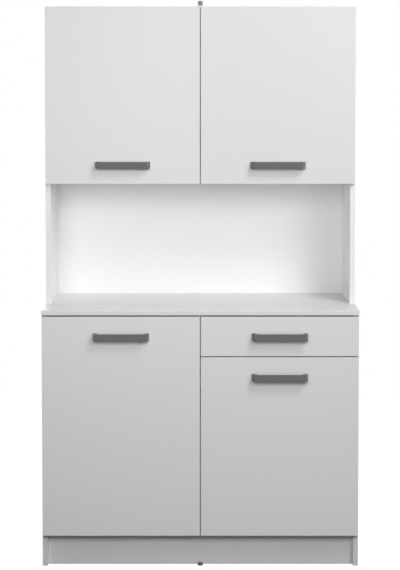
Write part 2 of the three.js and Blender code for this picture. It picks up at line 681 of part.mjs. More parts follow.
const lowerHandleZ = lowerFrontTop - handle.lowerFromTop;
const rightHandleZ = rightDoorTop - handle.lowerFromTop;
const upperHandleZ = upperFrontBottom + handle.upperFromBottom;
const base = { faceY: baseFaceY, z0: lowerFrontBottom };
const hutch = { faceY: hutchFaceY, z0: upperFrontBottom, z1: upperFrontTop, handleZ: upperHandleZ };
hungDoor({ name: 'lower_left', hand: 1, ...base, z1: lowerFrontTop, handleZ: lowerHandleZ });
hungDoor({ name: 'lower_right', hand: -1, ...base, z1: rightDoorTop, handleZ: rightHandleZ });
hungDoor({ name: 'upper_left', hand: 1, ...hutch });
hungDoor({ name: 'upper_right', hand: -1, ...hutch });

drawer();
drawerRunner('left', 1);
drawerRunner('right', -1);

export default model;
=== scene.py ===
"""Looks of a white kitchen cabinet for a microwave oven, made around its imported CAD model.

A base cabinet with two doors and a drawer stands under a worktop, and a hutch with an open niche and two
upper doors stands on it. Blender objects are in metres, +Z up, with the fronts facing -Y and the origin on
the floor. Sizes of pieces are written in millimetres and turned into metres when the mesh is made.
"""

import logging  # noqa: E402
import math  # noqa: E402
from dataclasses import dataclass  # noqa: E402
from enum import Enum  # noqa: E402
from typing import NamedTuple  # noqa: E402

import bmesh  # noqa: E402
import bpy  # noqa: E402
import numpy as np  # noqa: E402
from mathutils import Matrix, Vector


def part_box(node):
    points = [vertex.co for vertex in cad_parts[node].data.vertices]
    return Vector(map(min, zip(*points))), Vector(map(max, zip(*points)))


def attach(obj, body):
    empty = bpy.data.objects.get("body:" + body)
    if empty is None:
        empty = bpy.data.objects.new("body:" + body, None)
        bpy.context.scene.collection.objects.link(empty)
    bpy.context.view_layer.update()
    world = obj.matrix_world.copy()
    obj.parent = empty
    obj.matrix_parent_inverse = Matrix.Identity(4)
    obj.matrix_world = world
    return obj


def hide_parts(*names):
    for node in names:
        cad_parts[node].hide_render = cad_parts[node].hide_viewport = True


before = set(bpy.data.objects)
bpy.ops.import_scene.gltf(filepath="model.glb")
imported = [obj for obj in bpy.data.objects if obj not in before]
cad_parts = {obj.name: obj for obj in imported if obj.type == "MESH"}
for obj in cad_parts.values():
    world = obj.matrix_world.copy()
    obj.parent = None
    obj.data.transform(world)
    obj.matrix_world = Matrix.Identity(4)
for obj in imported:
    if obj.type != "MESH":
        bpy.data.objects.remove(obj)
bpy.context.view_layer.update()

log = logging.getLogger("cabinet")

MM = 0.001
FAR_AWAY = 100.0  # metres; a plane that no point of the object reaches
WELD_WITHIN = 0.00001  # metres; corners of a CAD node's loose triangles that are one point
CREASE = 32.0  # degrees; a new piece's edges from this angle on stay sharp
DOORS = ("lower_left", "lower_right", "upper_left", "upper_right")

Node = bpy.types.Node
Socket = bpy.types.NodeSocket
Sockets = bpy.types.bpy_prop_collection
NodeTree = bpy.types.NodeTree
Feed = Socket | float | tuple[float, ...]
Pair = tuple[float, float]
Triple = tuple[float, float, float]


# ------------------------------------------------------------------ shapes


class Facing(Enum):
    """Direction in which a fitting looks: its two directions across and the one outwards."""

    FRONT = ((1, 0, 0), (0, 0, 1), (0, -1, 0))
    REAR = ((-1, 0, 0), (0, 0, 1), (0, 1, 0))
    LEFT = ((0, -1, 0), (0, 0, 1), (-1, 0, 0))
    RIGHT = ((0, 1, 0), (0, 0, 1), (1, 0, 0))
    UP = ((1, 0, 0), (0, 1, 0), (0, 0, 1))
    DOWN = ((1, 0, 0), (0, -1, 0), (0, 0, -1))

    @classmethod
    def sideways(cls, way: float) -> "Facing":
        """RIGHT where way is positive and LEFT where it is negative."""
        return cls.RIGHT if way > 0 else cls.LEFT

    def place(self, local: np.ndarray, at: Triple) -> np.ndarray:
        """Carries points from the fitting's own axes to the object's.

        Args:
            local: Points whose last axis is across, across and outwards.
            at: Where the fitting sits, in millimetres.

        Returns:
            Points of the same shape in the object's axes.
        """
        return local @ np.array(self.value, float) + np.array(at, float)


@dataclass
class Surface:
    """Closed surface in millimetres: an array of points and the faces that join them."""

    points: np.ndarray
    faces: list[list[int]]

    @staticmethod
    def together(parts: list["Surface"]) -> "Surface":
        """Puts several closed surfaces into one.

        Args:
            parts: The surfaces, which don't touch each other.

        Returns:
            One surface with the points of all and each face's numbers moved on.
        """
        starts = np.cumsum([0] + [len(part.points) for part in parts])
        faces = [[int(start) + i for i in face] for start, part in zip(starts, parts) for face in part.faces]
        return Surface(np.concatenate([part.points for part in parts]), faces)


def skin(rings: np.ndarray) -> Surface:
    """Joins a stack of closed rings into one closed surface.

    Face (i, j) joins point j of ring i to point j + 1 of the same ring and to the same two points of ring
    i + 1, counted round the ring. The first and the last ring are closed by one flat face each.

    Args:
        rings: Points as rings by points round a ring by 3.

    Returns:
        The surface.
    """
    rows, columns, _ = rings.shape
    index = np.arange(rows * columns).reshape(rows, columns)
    beside = np.roll(index, -1, axis=1)
    quads = np.stack([index[:-1], beside[:-1], beside[1:], index[1:]], axis=-1).reshape(-1, 4)
    return Surface(rings.reshape(-1, 3), quads.tolist() + [index[0, ::-1].tolist(), index[-1].tolist()])


def turned(profile: np.ndarray, steps: int) -> np.ndarray:
    """Rings of a surface of revolution.

    Point (i, j) is (r_i cos t_j, r_i sin t_j, h_i), with t_j going once round in even steps.

    Args:
        profile: Pairs of radius and height, from one pole to the other.
        steps: Points round each ring.

    Returns:
        Rings by steps by 3.
    """
    turn = np.arange(steps) * (2 * math.pi / steps)
    radius, height = profile[:, :1], profile[:, 1:]
    return np.stack([radius * np.cos(turn), radius * np.sin(turn), height + 0 * turn], axis=-1)


def rounded_outline(half: np.ndarray, radius: np.ndarray, corner: int) -> np.ndarray:
    """Outline of a rounded rectangle about the origin.

    Each corner is a quarter ellipse about (half - radius), so the point at angle t is
    sign * (half - radius) + radius * (cos t, sin t).

    Args:
        half: Half the width and height, as rows by 2.
        radius: Corner radii in the two directions, as rows by 2.
        corner: Points on each corner.

    Returns:
        Rows by 4 * corner by 2.
    """
    quarter = math.pi / 2
    turn = (np.linspace(0, quarter, corner)[None, :] + np.arange(4)[:, None] * quarter).reshape(-1)
    signs = np.repeat(np.array([[1, 1], [-1, 1], [-1, -1], [1, -1]]), corner, axis=0)
    arc = np.stack([np.cos(turn), np.sin(turn)], axis=-1)
    return signs[None] * (half - radius)[:, None, :] + radius[:, None, :] * arc[None]


def slab(low: np.ndarray, high: np.ndarray, edge: float, facing: Facing, steps: int = 3) -> Surface:
    """Board or plate with rounded edges.

    Ring k of the rounding lies edge * (1 - sin t_k) inside the face and is drawn in by edge * (1 - cos t_k),
    with t going from 90 degrees at the face to 0 at the side.

    Args:
        low: Lowest corner in millimetres.
        high: Highest corner in millimetres.
        edge: Radius of the rounded edges.
        facing: The direction in which the board's thickness runs.
        steps: Points on each rounding.

    Returns:
        The surface.
    """
    size = np.abs(np.array(facing.value, float)) @ (high - low)
    turn = np.linspace(math.pi / 2, 0, steps)
    inset = edge * (1 - np.cos(turn))
    rise = size[2] / 2 - edge * (1 - np.sin(turn))
    inset, rise = np.concatenate([inset, inset[::-1]]), np.concatenate([rise, -rise[::-1]])
    half = size[None, :2] / 2 - inset[:, None]
    flat = rounded_outline(half, np.full_like(half, edge), steps)
    local = np.concatenate([flat, np.broadcast_to(rise[:, None, None], flat.shape[:2] + (1,))], axis=-1)
    return skin(facing.place(local, tuple((low + high) / 2)))


def strip(path: np.ndarray, thickness: float, across: Pair, facing: Facing, at: Triple) -> Surface:
    """Sheet-metal strip bent along a path.

    At each point of the path the sheet reaches thickness / 2 to both sides along the path's normal, and from
    one level to the other across the bend.

    Args:
        path: Points of the middle of the sheet, as rows by 2.
        thickness: Of the sheet.
        across: The two levels between which the strip is wide.
        facing: Axes in which the path is drawn; the strip is wide along the third.
        at: Origin of the path.

    Returns:
        The surface.
    """
    along = np.gradient(path, axis=0)
    along /= np.linalg.norm(along, axis=1, keepdims=True)
    normal = np.stack([-along[:, 1], along[:, 0]], axis=-1) * thickness / 2
    near, far = across
    corners = ((path + normal, near), (path - normal, near), (path - normal, far), (path + normal, far))
    rings = np.stack([np.column_stack([flat, np.full(len(path), level)]) for flat, level in corners], axis=1)
    return skin(facing.place(rings, at))


@dataclass(frozen=True)
class ScrewHead:
    """Head of a screw with a cross recess, standing on a short shank, in millimetres.

    The recess is as wide as twice cross and reaches to the share reach of the radius, and soft is how far
    its walls lean along and across its arms. The dome falls by the share fall at its rim.
    """

    radius: float = 3.6
    height: float = 1.3
    shank: float = 1.9
    sunk: float = 0.7
    cross: float = 0.52
    reach: float = 0.56
    deep: float = 0.62
    soft: Pair = (0.2, 0.25)
    fall: float = 0.55
    rim: Pair = (0.98, 0.28)
    dome: tuple[float, ...] = (0.97, 0.85, 0.66, 0.52, 0.4, 0.28, 0.16, 0.05)
    steps: int = 32

    def at(self, place: Triple, facing: Facing, turn: float = 0.0) -> Surface:
        """Makes the head.

        The height over radius r is height * (1 - (r / radius)^4 * fall), less a cross that is deep where the
        smaller of |x| and |y| is under cross and the larger is under reach * radius.

        Args:
            place: Middle of the head's underside, in millimetres.
            facing: Direction in which the head looks.
            turn: How far the cross is turned, in radians.

        Returns:
            The surface.
        """
        share = np.array(self.dome)
        side = ((self.shank, -self.sunk), (self.shank, 0.0), (self.radius * self.rim[0], 0.0),
                (self.radius, self.height * self.rim[1]))
        over = np.column_stack([self.radius * share, self.height * (1 - share**4 * self.fall)])
        rings = turned(np.concatenate([side, over]), self.steps)
        small, large = np.sort(np.abs(rings[..., :2]), axis=-1).transpose(2, 0, 1)
        inside = np.clip((self.cross - small) / self.soft[0] + 0.5, 0, 1)
        inside *= np.clip((self.reach * self.radius - large) / self.soft[1], 0, 1)
        rings[len(side):, :, 2] -= self.deep * inside[len(side):]
        cos, sin = math.cos(turn), math.sin(turn)
        spun = rings[..., :2] @ np.array([[cos, sin], [-sin, cos]])
        return skin(facing.place(np.concatenate([spun, rings[..., 2:]], axis=-1), place))


@dataclass(frozen=True)
class Button:
    """Low round cap, nail head, pin or roller: pairs of radius and height, turned in some steps."""

    profile: tuple[Pair, ...]
    steps: int = 24

    def at(self, place: Triple, facing: Facing) -> Surface:
        """Turns the profile round an axis that leaves a face at a place, in millimetres."""
        return skin(facing.place(turned(np.array(self.profile, float), self.steps), place))


class Box(NamedTuple):
    """Lowest and highest corner of a CAD node, in millimetres."""

    low: np.ndarray
    high: np.ndarray

    @property
    def middle(self) -> np.ndarray:
        """Point halfway between the corners."""
        return (self.low + self.high) / 2


def box_mm(node: str) -> Box:
    """Box of a CAD node at rest.

    Args:
        node: The node's name.

    Returns:
        The box.
    """
    low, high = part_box(node)
    return Box(np.array(low) / MM, np.array(high) / MM)


# ------------------------------------------------------------------ nodes


class Wiring:
    """Places and links the nodes of one material, world or node group."""

    def __init__(self, tree: NodeTree) -> None:
        """Starts on a tree, which is emptied."""
        self.tree = tree
        tree.nodes.clear()

    def feed(self, socket: Socket, value: Feed) -> None:
        """Links another socket to this one, or writes a plain value on it.

        Args:
            socket: The input.
            value: What it takes; a plain colour has three channels.
        """
        if isinstance(value, Socket):
            self.tree.links.new(value, socket)
        elif socket.type == "RGBA":
            socket.default_value = (*value, 1.0)
        else:
            socket.default_value = value

    def node(self, kind: str, feeds: dict[int | str, Feed] | None = None, **settings: object) -> Node:
        """Places a node.

        Args:
            kind: Blender's name for the node type.
            feeds: What its inputs take, by number or name.
            settings: Properties set on it.

        Returns:
            The node.
        """
        made = self.tree.nodes.new(kind)
        for name, value in settings.items():
            setattr(made, name, value)
        for key, value in (feeds or {}).items():
            self.feed(made.inputs[key], value)
        return made

    def maths(self, operation: str, *operands: Feed) -> Socket:
        """Works out a number with a Math node."""
        return self.node("ShaderNodeMath", dict(enumerate(operands)), operation=operation).outputs[0]

    def times(self, first: Feed, second: Feed) -> Socket:
        """Product of two numbers."""
        return self.maths("MULTIPLY", first, second)

    def plus(self, first: Feed, second: Feed) -> Socket:
        """Sum of two numbers."""
        return self.maths("ADD", first, second)

    def minus(self, first: Feed, second: Feed) -> Socket:
        """First number less the second."""
        return self.maths("SUBTRACT", first, second)

    def line(self, value: Feed, slope: Feed, start: Feed) -> Socket:
        """Straight line: value * slope + start."""
        return self.maths("MULTIPLY_ADD", value, slope, start)

    def vector(self, operation: str, *operands: Feed, output: str = "Vector") -> Socket:
        """Works out a vector, or a length where the output is Value."""
        made = self.node("ShaderNodeVectorMath", dict(enumerate(operands)), operation=operation)
        return made.outputs[output]

    def axes(self, vector: Socket) -> tuple[Socket, Socket, Socket]:
        """The three coordinates of a vector."""
        return tuple(self.node("ShaderNodeSeparateXYZ", {0: vector}).outputs)

    def red(self, colour: Socket) -> Socket:
        """First channel of a colour."""
        return self.node("ShaderNodeSeparateColor", {0: colour}).outputs[0]

    def noise(self, vector: Feed, scale: Feed, detail: float = 2.0, rough: float = 0.5) -> Socket:
        """Noise from 0 to 1, in waves per metre, with detail finer layers of the strength rough."""
        feeds = {"Vector": vector, "Scale": scale, "Detail": detail, "Roughness": rough}
        return self.node("ShaderNodeTexNoise", feeds).outputs["Fac"]

    def cells(self, vector: Feed, scale: Feed) -> Sockets:
        """Voronoi cells, so many per metre, with their Distance and Color."""
        return self.node("ShaderNodeTexVoronoi", {"Vector": vector, "Scale": scale}).outputs

    def spread(self, value: Feed, low: float, high: float, start: float = 0.0, end: float = 1.0) -> Socket:
        """Goes smoothly from start, where the value is low, to end, where it is high, and no further."""
        feeds = dict(enumerate((value, low, high, start, end)))
        return self.node("ShaderNodeMapRange", feeds, interpolation_type="SMOOTHSTEP").outputs[0]

    def fade(self, value: Feed, low: float, high: float) -> Socket:
        """Goes smoothly from 1, where the value is low, to 0, where it is high, and no further."""
        return self.spread(value, low, high, start=1.0, end=0.0)

    def blend(self, factor: Feed, first: Feed, second: Feed, kind: str = "MIX") -> Socket:
        """Mixes two colours, from the first at a factor of 0 to the second at 1."""
        feeds = {0: factor, 6: first, 7: second}  # a Mix node's factor and its two colours
        return self.node("ShaderNodeMix", feeds, data_type="RGBA", blend_type=kind).outputs[2]

    def grey(self, tone: Feed) -> Socket:
        """Colour whose three channels are one number."""
        return self.node("ShaderNodeCombineColor", dict.fromkeys(range(3), tone)).outputs[0]

    def shade(self, colour: Feed, tone: Feed) -> Socket:
        """Colour times a number."""
        return self.blend(1.0, colour, self.grey(tone), "MULTIPLY")

    def bump(self, height: Feed, depth_mm: float, normal: Socket | None = None) -> Socket:
        """Normal of a surface that is raised by height times depth_mm.

        Args:
            height: Height from 0 to 1.
            depth_mm: How many millimetres a height of 1 is.
            normal: The normal it starts from, if it isn't the mesh's own.

        Returns:
            The new normal.
        """
        feeds = {"Height": height, "Distance": depth_mm * MM}
        if normal is not None:
            feeds["Normal"] = normal
        return self.node("ShaderNodeBump", feeds).outputs["Normal"]


class Effects:
    """Node groups for what several finishes have in common, each built once.

    Every group takes Vector, the object coordinates in metres, besides what its method names.
    """

    cells_finer: float = 1.7
    cell_height: float = 0.45
    soft_height: float = 0.6
    mottle_finer: float = 23.0
    mottle_share: float = 0.35
    rim_waves: float = 60.0
    rim_least: float = 0.3
    rim_swing: float = 1.4
    glue_line: float = 0.0002
    sway_waves: float = 420.0
    sway: float = 0.002
    chips_per_metre: float = 330.0
    chip_flatness: float = 2.6
    pale_chip: Triple = (0.66, 0.50, 0.31)
    dark_chip: Triple = (0.42, 0.28, 0.15)
    chip_gap: Triple = (0.24, 0.15, 0.08)
    stain_waves: float = 140.0
    finger_waves: float = 38.0

    def __init__(self) -> None:
        """Builds every group."""
        self.pearl = self._pearl()
        self.drift = self._drift()
        self.rim = self._rim()
        self.bare = self._bare()
        self.chips = self._chips()
        self.brush = self._brush()
        self.touch = self._touch()

    @staticmethod
    def _start(name: str, **inputs: Feed) -> tuple[Wiring, Sockets]:
        """Makes an empty group with Vector and other named inputs.

        Args:
            name: The group's name.
            inputs: Each input's first value, a number or a vector.

        Returns:
            The wiring and the sockets of the group's inputs.
        """
        tree = bpy.data.node_groups.new(name, "ShaderNodeTree")
        for label, value in {"Vector": (0.0, 0.0, 0.0), **inputs}.items():
            kind = "NodeSocketVector" if isinstance(value, tuple) else "NodeSocketFloat"
            tree.interface.new_socket(name=label, in_out="INPUT", socket_type=kind).default_value = value
        wiring = Wiring(tree)
        return wiring, wiring.node("NodeGroupInput").outputs

    @staticmethod
    def _end(wiring: Wiring, **outputs: Socket) -> NodeTree:
        """Gives a group its named outputs.

        Args:
            wiring: The group's wiring.
            outputs: The socket that each output puts out.

        Returns:
            The group.
        """
        for label, socket in outputs.items():
            kind = "NodeSocketColor" if socket.type == "RGBA" else "NodeSocketFloat"
            wiring.tree.interface.new_socket(name=label, in_out="OUTPUT", socket_type=kind)
        wiring.node("NodeGroupOutput", outputs)
        return wiring.tree

    def _pearl(self) -> NodeTree:
        """Fine pearl of a pressed or sprayed surface: soft noise with rounded cells in it.

        Returns:
            The group, with Scale in waves per metre, which puts out Height.
        """
        wiring, given = self._start("pearl", Scale=900.0)
        soft = wiring.noise(given["Vector"], given["Scale"], detail=3.0, rough=0.55)
        cells = wiring.cells(given["Vector"], wiring.times(given["Scale"], self.cells_finer))
        rounded = wiring.times(cells["Distance"], self.cell_height)
        return self._end(wiring, Height=wiring.line(soft, self.soft_height, rounded))

    def _drift(self) -> NodeTree:
        """Slow change of tone over a board, with a finer mottle on it, round a factor of 1.

        Tone is 1 + 2 * Amount * (slow + mottle_share * fine - the middle of that sum).

        Returns:
            The group, with Scale in waves per metre and Amount, which puts out Tone.
        """
        wiring, given = self._start("tone_drift", Scale=3.0, Amount=0.01)
        slow = wiring.noise(given["Vector"], given["Scale"])
        fine = wiring.noise(given["Vector"], wiring.times(given["Scale"], self.mottle_finer), detail=3.0)
        swing = wiring.minus(wiring.line(fine, self.mottle_share, slow), (1 + self.mottle_share) / 2)
        return self._end(wiring, Tone=wiring.line(wiring.times(swing, given["Amount"]), 2.0, 1.0))

    def _rim(self) -> NodeTree:
        """Masks near a board's edges, from the distance to the nearest edge of its box.

        A point on a face is 0 from that face, so its middle distance of the three pairs of faces is the
        distance to the nearest edge. Rim is worn within Width of it, more and less as a noise goes, and Seam
        is the glue line of the edge band at Band from it.

        Returns:
            The group, with the box's Low and High, Width and Band in metres.
        """
        wiring, given = self._start("board_rim", Low=(0.0, 0.0, 0.0), High=(1.0, 1.0, 1.0), Width=0.003,
                                    Band=0.001)
        point = given["Vector"]
        under = wiring.vector("SUBTRACT", point, given["Low"])
        over = wiring.vector("SUBTRACT", given["High"], point)
        x, y, z = wiring.axes(wiring.vector("MINIMUM", under, over))
        least = wiring.maths("MINIMUM", wiring.maths("MINIMUM", x, y), z)
        most = wiring.maths("MAXIMUM", wiring.maths("MAXIMUM", x, y), z)
        middle = wiring.minus(wiring.minus(wiring.plus(wiring.plus(x, y), z), least), most)
        wander = wiring.line(wiring.noise(point, self.rim_waves, detail=3.0), self.rim_swing, self.rim_least)
        share = wiring.maths("DIVIDE", middle, wiring.times(given["Width"], wander))
        off_line = wiring.maths("ABSOLUTE", wiring.minus(middle, given["Band"]))
        return self._end(wiring, Rim=wiring.fade(share, low=0.0, high=1.0),
                         Seam=wiring.fade(off_line, low=0.0, high=self.glue_line))

    def _bare(self) -> NodeTree:
        """Mask of what lies behind one plane or under another.

        Returns:
            The group, with the planes Behind and Under in metres, which puts out Mask.
        """
        wiring, given = self._start("bare_side", Behind=FAR_AWAY, Under=-FAR_AWAY)
        _, y, z = wiring.axes(given["Vector"])
        behind = wiring.maths("GREATER_THAN", y, given["Behind"])
        under = wiring.maths("LESS_THAN", z, given["Under"])
        return self._end(wiring, Mask=wiring.maths("MAXIMUM", behind, under))

    def _chips(self) -> NodeTree:
        """Bare chipboard: pressed wood chips of several browns with pits between them.

        Returns:
            The group, which puts out Color and Height.
        """
        wiring, given = self._start("chipboard")
        sway = wiring.times(wiring.noise(given["Vector"], self.sway_waves), self.sway)
        bent = wiring.vector("ADD", given["Vector"], wiring.grey(sway))
        flat = wiring.vector("MULTIPLY", bent, (1.0, 1.0, self.chip_flatness))
        chips = wiring.cells(flat, self.chips_per_metre)
        wood = wiring.blend(wiring.red(chips["Color"]), self.dark_chip, self.pale_chip)
        colour = wiring.blend(wiring.spread(chips["Distance"], low=0.35, high=0.75), wood, self.chip_gap)
        return self._end(wiring, Color=colour, Height=wiring.minus(1.0, chips["Distance"]))

    def _brush(self) -> NodeTree:
        """Drawn or rolled metal: long fine lines along one axis, with a duller mottle.

        Returns:
            The group, with Stretch along each axis and Scale in lines per metre, which puts out Height and
            Mottle.
        """
        wiring, given = self._start("drawn_metal", Stretch=(1.0, 1.0, 1.0), Scale=2600.0)
        lines = wiring.vector("MULTIPLY", given["Vector"], given["Stretch"])
        return self._end(wiring, Height=wiring.noise(lines, given["Scale"], detail=3.0, rough=0.6),
                         Mottle=wiring.noise(given["Vector"], self.stain_waves, detail=3.0))

    def _touch(self) -> NodeTree:
        """Faint traces of fingers round a handle: smudges that fade with the distance from it.

        Returns:
            The group, with the handle's Centre and the Reach of the traces in metres, which puts out Mask.
        """
        wiring, given = self._start("finger_marks", Centre=(0.0, 0.0, FAR_AWAY), Reach=0.1)
        away = wiring.vector("DISTANCE", given["Vector"], given["Centre"], output="Value")
        near = wiring.fade(wiring.maths("DIVIDE", away, given["Reach"]), low=0.35, high=1.0)
        smudges = wiring.noise(given["Vector"], self.finger_waves, detail=4.0, rough=0.6)
        marks = wiring.spread(smudges, low=0.46, high=0.62)
        return self._end(wiring, Mask=wiring.times(near, marks))


# ------------------------------------------------------------------ finishes


@dataclass(frozen=True)
class Site:
    """What a finish covers, in metres: a piece's box, where its core shows, and its handle's middle."""

    low: Triple = (0.0, 0.0, 0.0)
    high: Triple = (1.0, 1.0, 1.0)
    bare_behind: float = FAR_AWAY
    bare_under: float = -FAR_AWAY
    handle: Triple = (0.0, 0.0, FAR_AWAY)

    @classmethod
    def of(cls, node: str, **more: float | Triple) -> "Site":
        """Site with the box of a CAD node."""
        low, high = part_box(node)
        return cls(tuple(low), tuple(high), **more)


class Trace(NamedTuple):
    """Trace of wear or dirt: how much it covers at its thickest, its colour, and the roughness it adds."""

    share: float
    colour: Triple
    roughness: float = 0.0


class Coat(NamedTuple):
    """Finished material, and the name of the record's slot that it goes with."""

    material: bpy.types.Material
    slot: str


class Canvas(Wiring):
    """Wiring of one material, with the object coordinates and what it covers."""

    def __init__(self, material: bpy.types.Material, site: Site) -> None:
        """Empties a material's tree and places its coordinates.

        Args:
            material: The material.
            site: What it covers.
        """
        material.use_nodes = True
        super().__init__(material.node_tree)
        self.place = self.node("ShaderNodeTexCoord").outputs["Object"]
        self.site = site

    def effect(self, tree: NodeTree, **values: Feed) -> Sockets:
        """Places a shared effect on the coordinates and gives its outputs."""
        return self.node("ShaderNodeGroup", {"Vector": self.place, **values}, node_tree=tree).outputs

    def traced(self, colour: Feed, mask: Feed, trace: Trace) -> Socket:
        """Colour with a trace over it where a mask is 1."""
        return self.blend(self.times(mask, trace.share), colour, trace.colour)

    def swung(self, value: Feed, swing: float, base: Feed) -> Socket:
        """Base plus swing times how far a value of 0 to 1 is from its middle."""
        return self.line(self.minus(value, 0.5), swing, base)

    def surface(self, shader: Node) -> None:
        """Puts a shader on the material's surface."""
        self.node("ShaderNodeOutputMaterial", {"Surface": shader.outputs[0]})


@dataclass(frozen=True)
class Finish:
    """What every finish has: shared effects, the record's slot, a colour that drifts, and its gloss.

    The colour's tone goes up and down by about the share swing, in so many waves per metre. In the finishes
    below every pattern is counted per metre, a stretch is how much finer it is along each axis, a height ends
    in _mm, and what ends in _gloss is how far the roughness goes up and down with the pattern.
    """

    effects: Effects
    slot: str
    colour: Triple
    roughness: float
    waves: float
    swing: float
    metallic: float = 0.0
    specular: float = 0.5

    def tone(self, canvas: Canvas) -> Socket:
        """Slow drift of the colour's tone."""
        return canvas.effect(self.effects.drift, Scale=self.waves, Amount=self.swing)["Tone"]

    def paint(self, canvas: Canvas) -> tuple[Feed, Feed, Feed]:
        """Works out what changes over the surface.

        Args:
            canvas: The material's wiring.

        Returns:
            Colour, roughness and normal.
        """
        raise NotImplementedError

    def make(self, name: str, site: Site = Site()) -> Coat:
        """Makes a material with its Principled shader.

        Args:
            name: The material's name.
            site: What it covers.

        Returns:
            The material with this finish's slot.
        """
        material = bpy.data.materials.new(name)
        material.diffuse_color = (*self.colour, 1.0)
        canvas = Canvas(material, site)
        colour, roughness, normal = self.paint(canvas)
        canvas.surface(canvas.node("ShaderNodeBsdfPrincipled", {
            "Base Color": colour, "Metallic": self.metallic, "Roughness": roughness,
            "Specular IOR Level": self.specular, "Normal": normal}))
        return Coat(material, self.slot)


@dataclass(frozen=True)
class Melamine(Finish):
    """Melamine-faced chipboard with glued edge bands: a fine pearl, faint drift and a duller worn rim."""

    slot: str = "melamine_board"
    colour: Triple = (0.86, 0.86, 0.86)
    roughness: float = 0.34
    waves: float = 2.3
    swing: float = 0.006
    band: Triple = (0.83, 0.83, 0.83)
    band_mm: float = 0.9
    rim_mm: float = 2.2
    pearl: float = 750.0
    pearl_mm: float = 0.012
    pearl_gloss: float = 0.08
    chips_mm: float = 0.35
    core_roughness: float = 0.85
    finger_reach: float = 0.13
    worn: Trace = Trace(0.18, (0.70, 0.69, 0.67), 0.10)
    glue: Trace = Trace(0.35, (0.60, 0.58, 0.55))
    grease: Trace = Trace(0.015, (0.62, 0.60, 0.57), 0.02)

    def paint(self, canvas: Canvas) -> tuple[Feed, Feed, Feed]:
        """Paints the faces and bands over the core, with worn rims, glue lines and finger marks.

        Args:
            canvas: The board's wiring.

        Returns:
            Colour, roughness and normal.
        """
        site, effects = canvas.site, self.effects
        rim = canvas.effect(effects.rim, Low=site.low, High=site.high, Width=self.rim_mm * MM,
                            Band=self.band_mm * MM)
        tone = self.tone(canvas)
        pearl = canvas.effect(effects.pearl, Scale=self.pearl)["Height"]
        chips = canvas.effect(effects.chips)
        marks = canvas.effect(effects.touch, Centre=site.handle, Reach=self.finger_reach)["Mask"]
        bare = canvas.effect(effects.bare, Behind=site.bare_behind, Under=site.bare_under)["Mask"]
        _, y, _ = canvas.axes(canvas.place)
        banded = canvas.maths("LESS_THAN", y, site.low[1] + self.band_mm * MM)
        face = canvas.blend(banded, canvas.shade(self.colour, tone), canvas.shade(self.band, tone))
        gloss = canvas.swung(pearl, self.pearl_gloss, self.roughness)
        for mask, trace in ((rim["Rim"], self.worn), (rim["Seam"], self.glue), (marks, self.grease)):
            face, gloss = canvas.traced(face, mask, trace), canvas.line(mask, trace.roughness, gloss)
        gloss = canvas.maths("MAXIMUM", gloss, canvas.times(bare, self.core_roughness))
        faced = canvas.bump(canvas.times(pearl, canvas.minus(1.0, bare)), self.pearl_mm)
        normal = canvas.bump(canvas.times(chips["Height"], bare), self.chips_mm, faced)
        return canvas.blend(bare, face, chips["Color"]), gloss, normal


@dataclass(frozen=True)
class Hardboard(Finish):
    """Thin fibreboard, lacquered white on one face and bare brown with darker fibres on the other."""

    slot: str = "back_sheet"
    colour: Triple = (0.95, 0.95, 0.95)
    roughness: float = 0.5
    waves: float = 4.0
    swing: float = 0.012
    brown: Triple = (0.30, 0.185, 0.10)
    dark_share: float = 0.62
    fleck: Trace = Trace(0.2, (0.42, 0.29, 0.18))
    flecks: float = 60.0
    fibres: float = 900.0
    fibre_stretch: Triple = (1.0, 1.0, 0.35)
    fibre_height: float = 0.6
    screen: float = 520.0
    screen_height: float = 0.4
    texture_mm: float = 0.12
    lacquered_share: float = 0.15
    bare_rougher: float = 0.32

    def paint(self, canvas: Canvas) -> tuple[Feed, Feed, Feed]:
        """Paints the lacquer, and on the bare side the fibres and the print of the press's screen.

        Args:
            canvas: The sheet's wiring.

        Returns:
            Colour, roughness and normal.
        """
        site, place = canvas.site, canvas.place
        bare = canvas.effect(self.effects.bare, Behind=site.bare_behind, Under=site.bare_under)["Mask"]
        along = canvas.vector("MULTIPLY", place, self.fibre_stretch)
        fibre = canvas.noise(along, self.fibres, detail=5.0, rough=0.65)
        dark = tuple(self.dark_share * part for part in self.brown)
        brown = canvas.blend(canvas.spread(fibre, low=0.35, high=0.65), dark, self.brown)
        flecks = canvas.spread(canvas.noise(place, self.flecks, detail=4.0), low=0.5, high=0.75)
        lacquer = canvas.shade(self.colour, self.tone(canvas))
        colour = canvas.blend(bare, lacquer, canvas.traced(brown, flecks, self.fleck))
        screen = canvas.times(canvas.cells(place, self.screen)["Distance"], self.screen_height)
        relief = canvas.line(bare, 1 - self.lacquered_share, self.lacquered_share)
        height = canvas.times(canvas.line(fibre, self.fibre_height, screen), relief)
        gloss = canvas.line(bare, self.bare_rougher, self.roughness)
        return colour, gloss, canvas.bump(height, self.texture_mm)


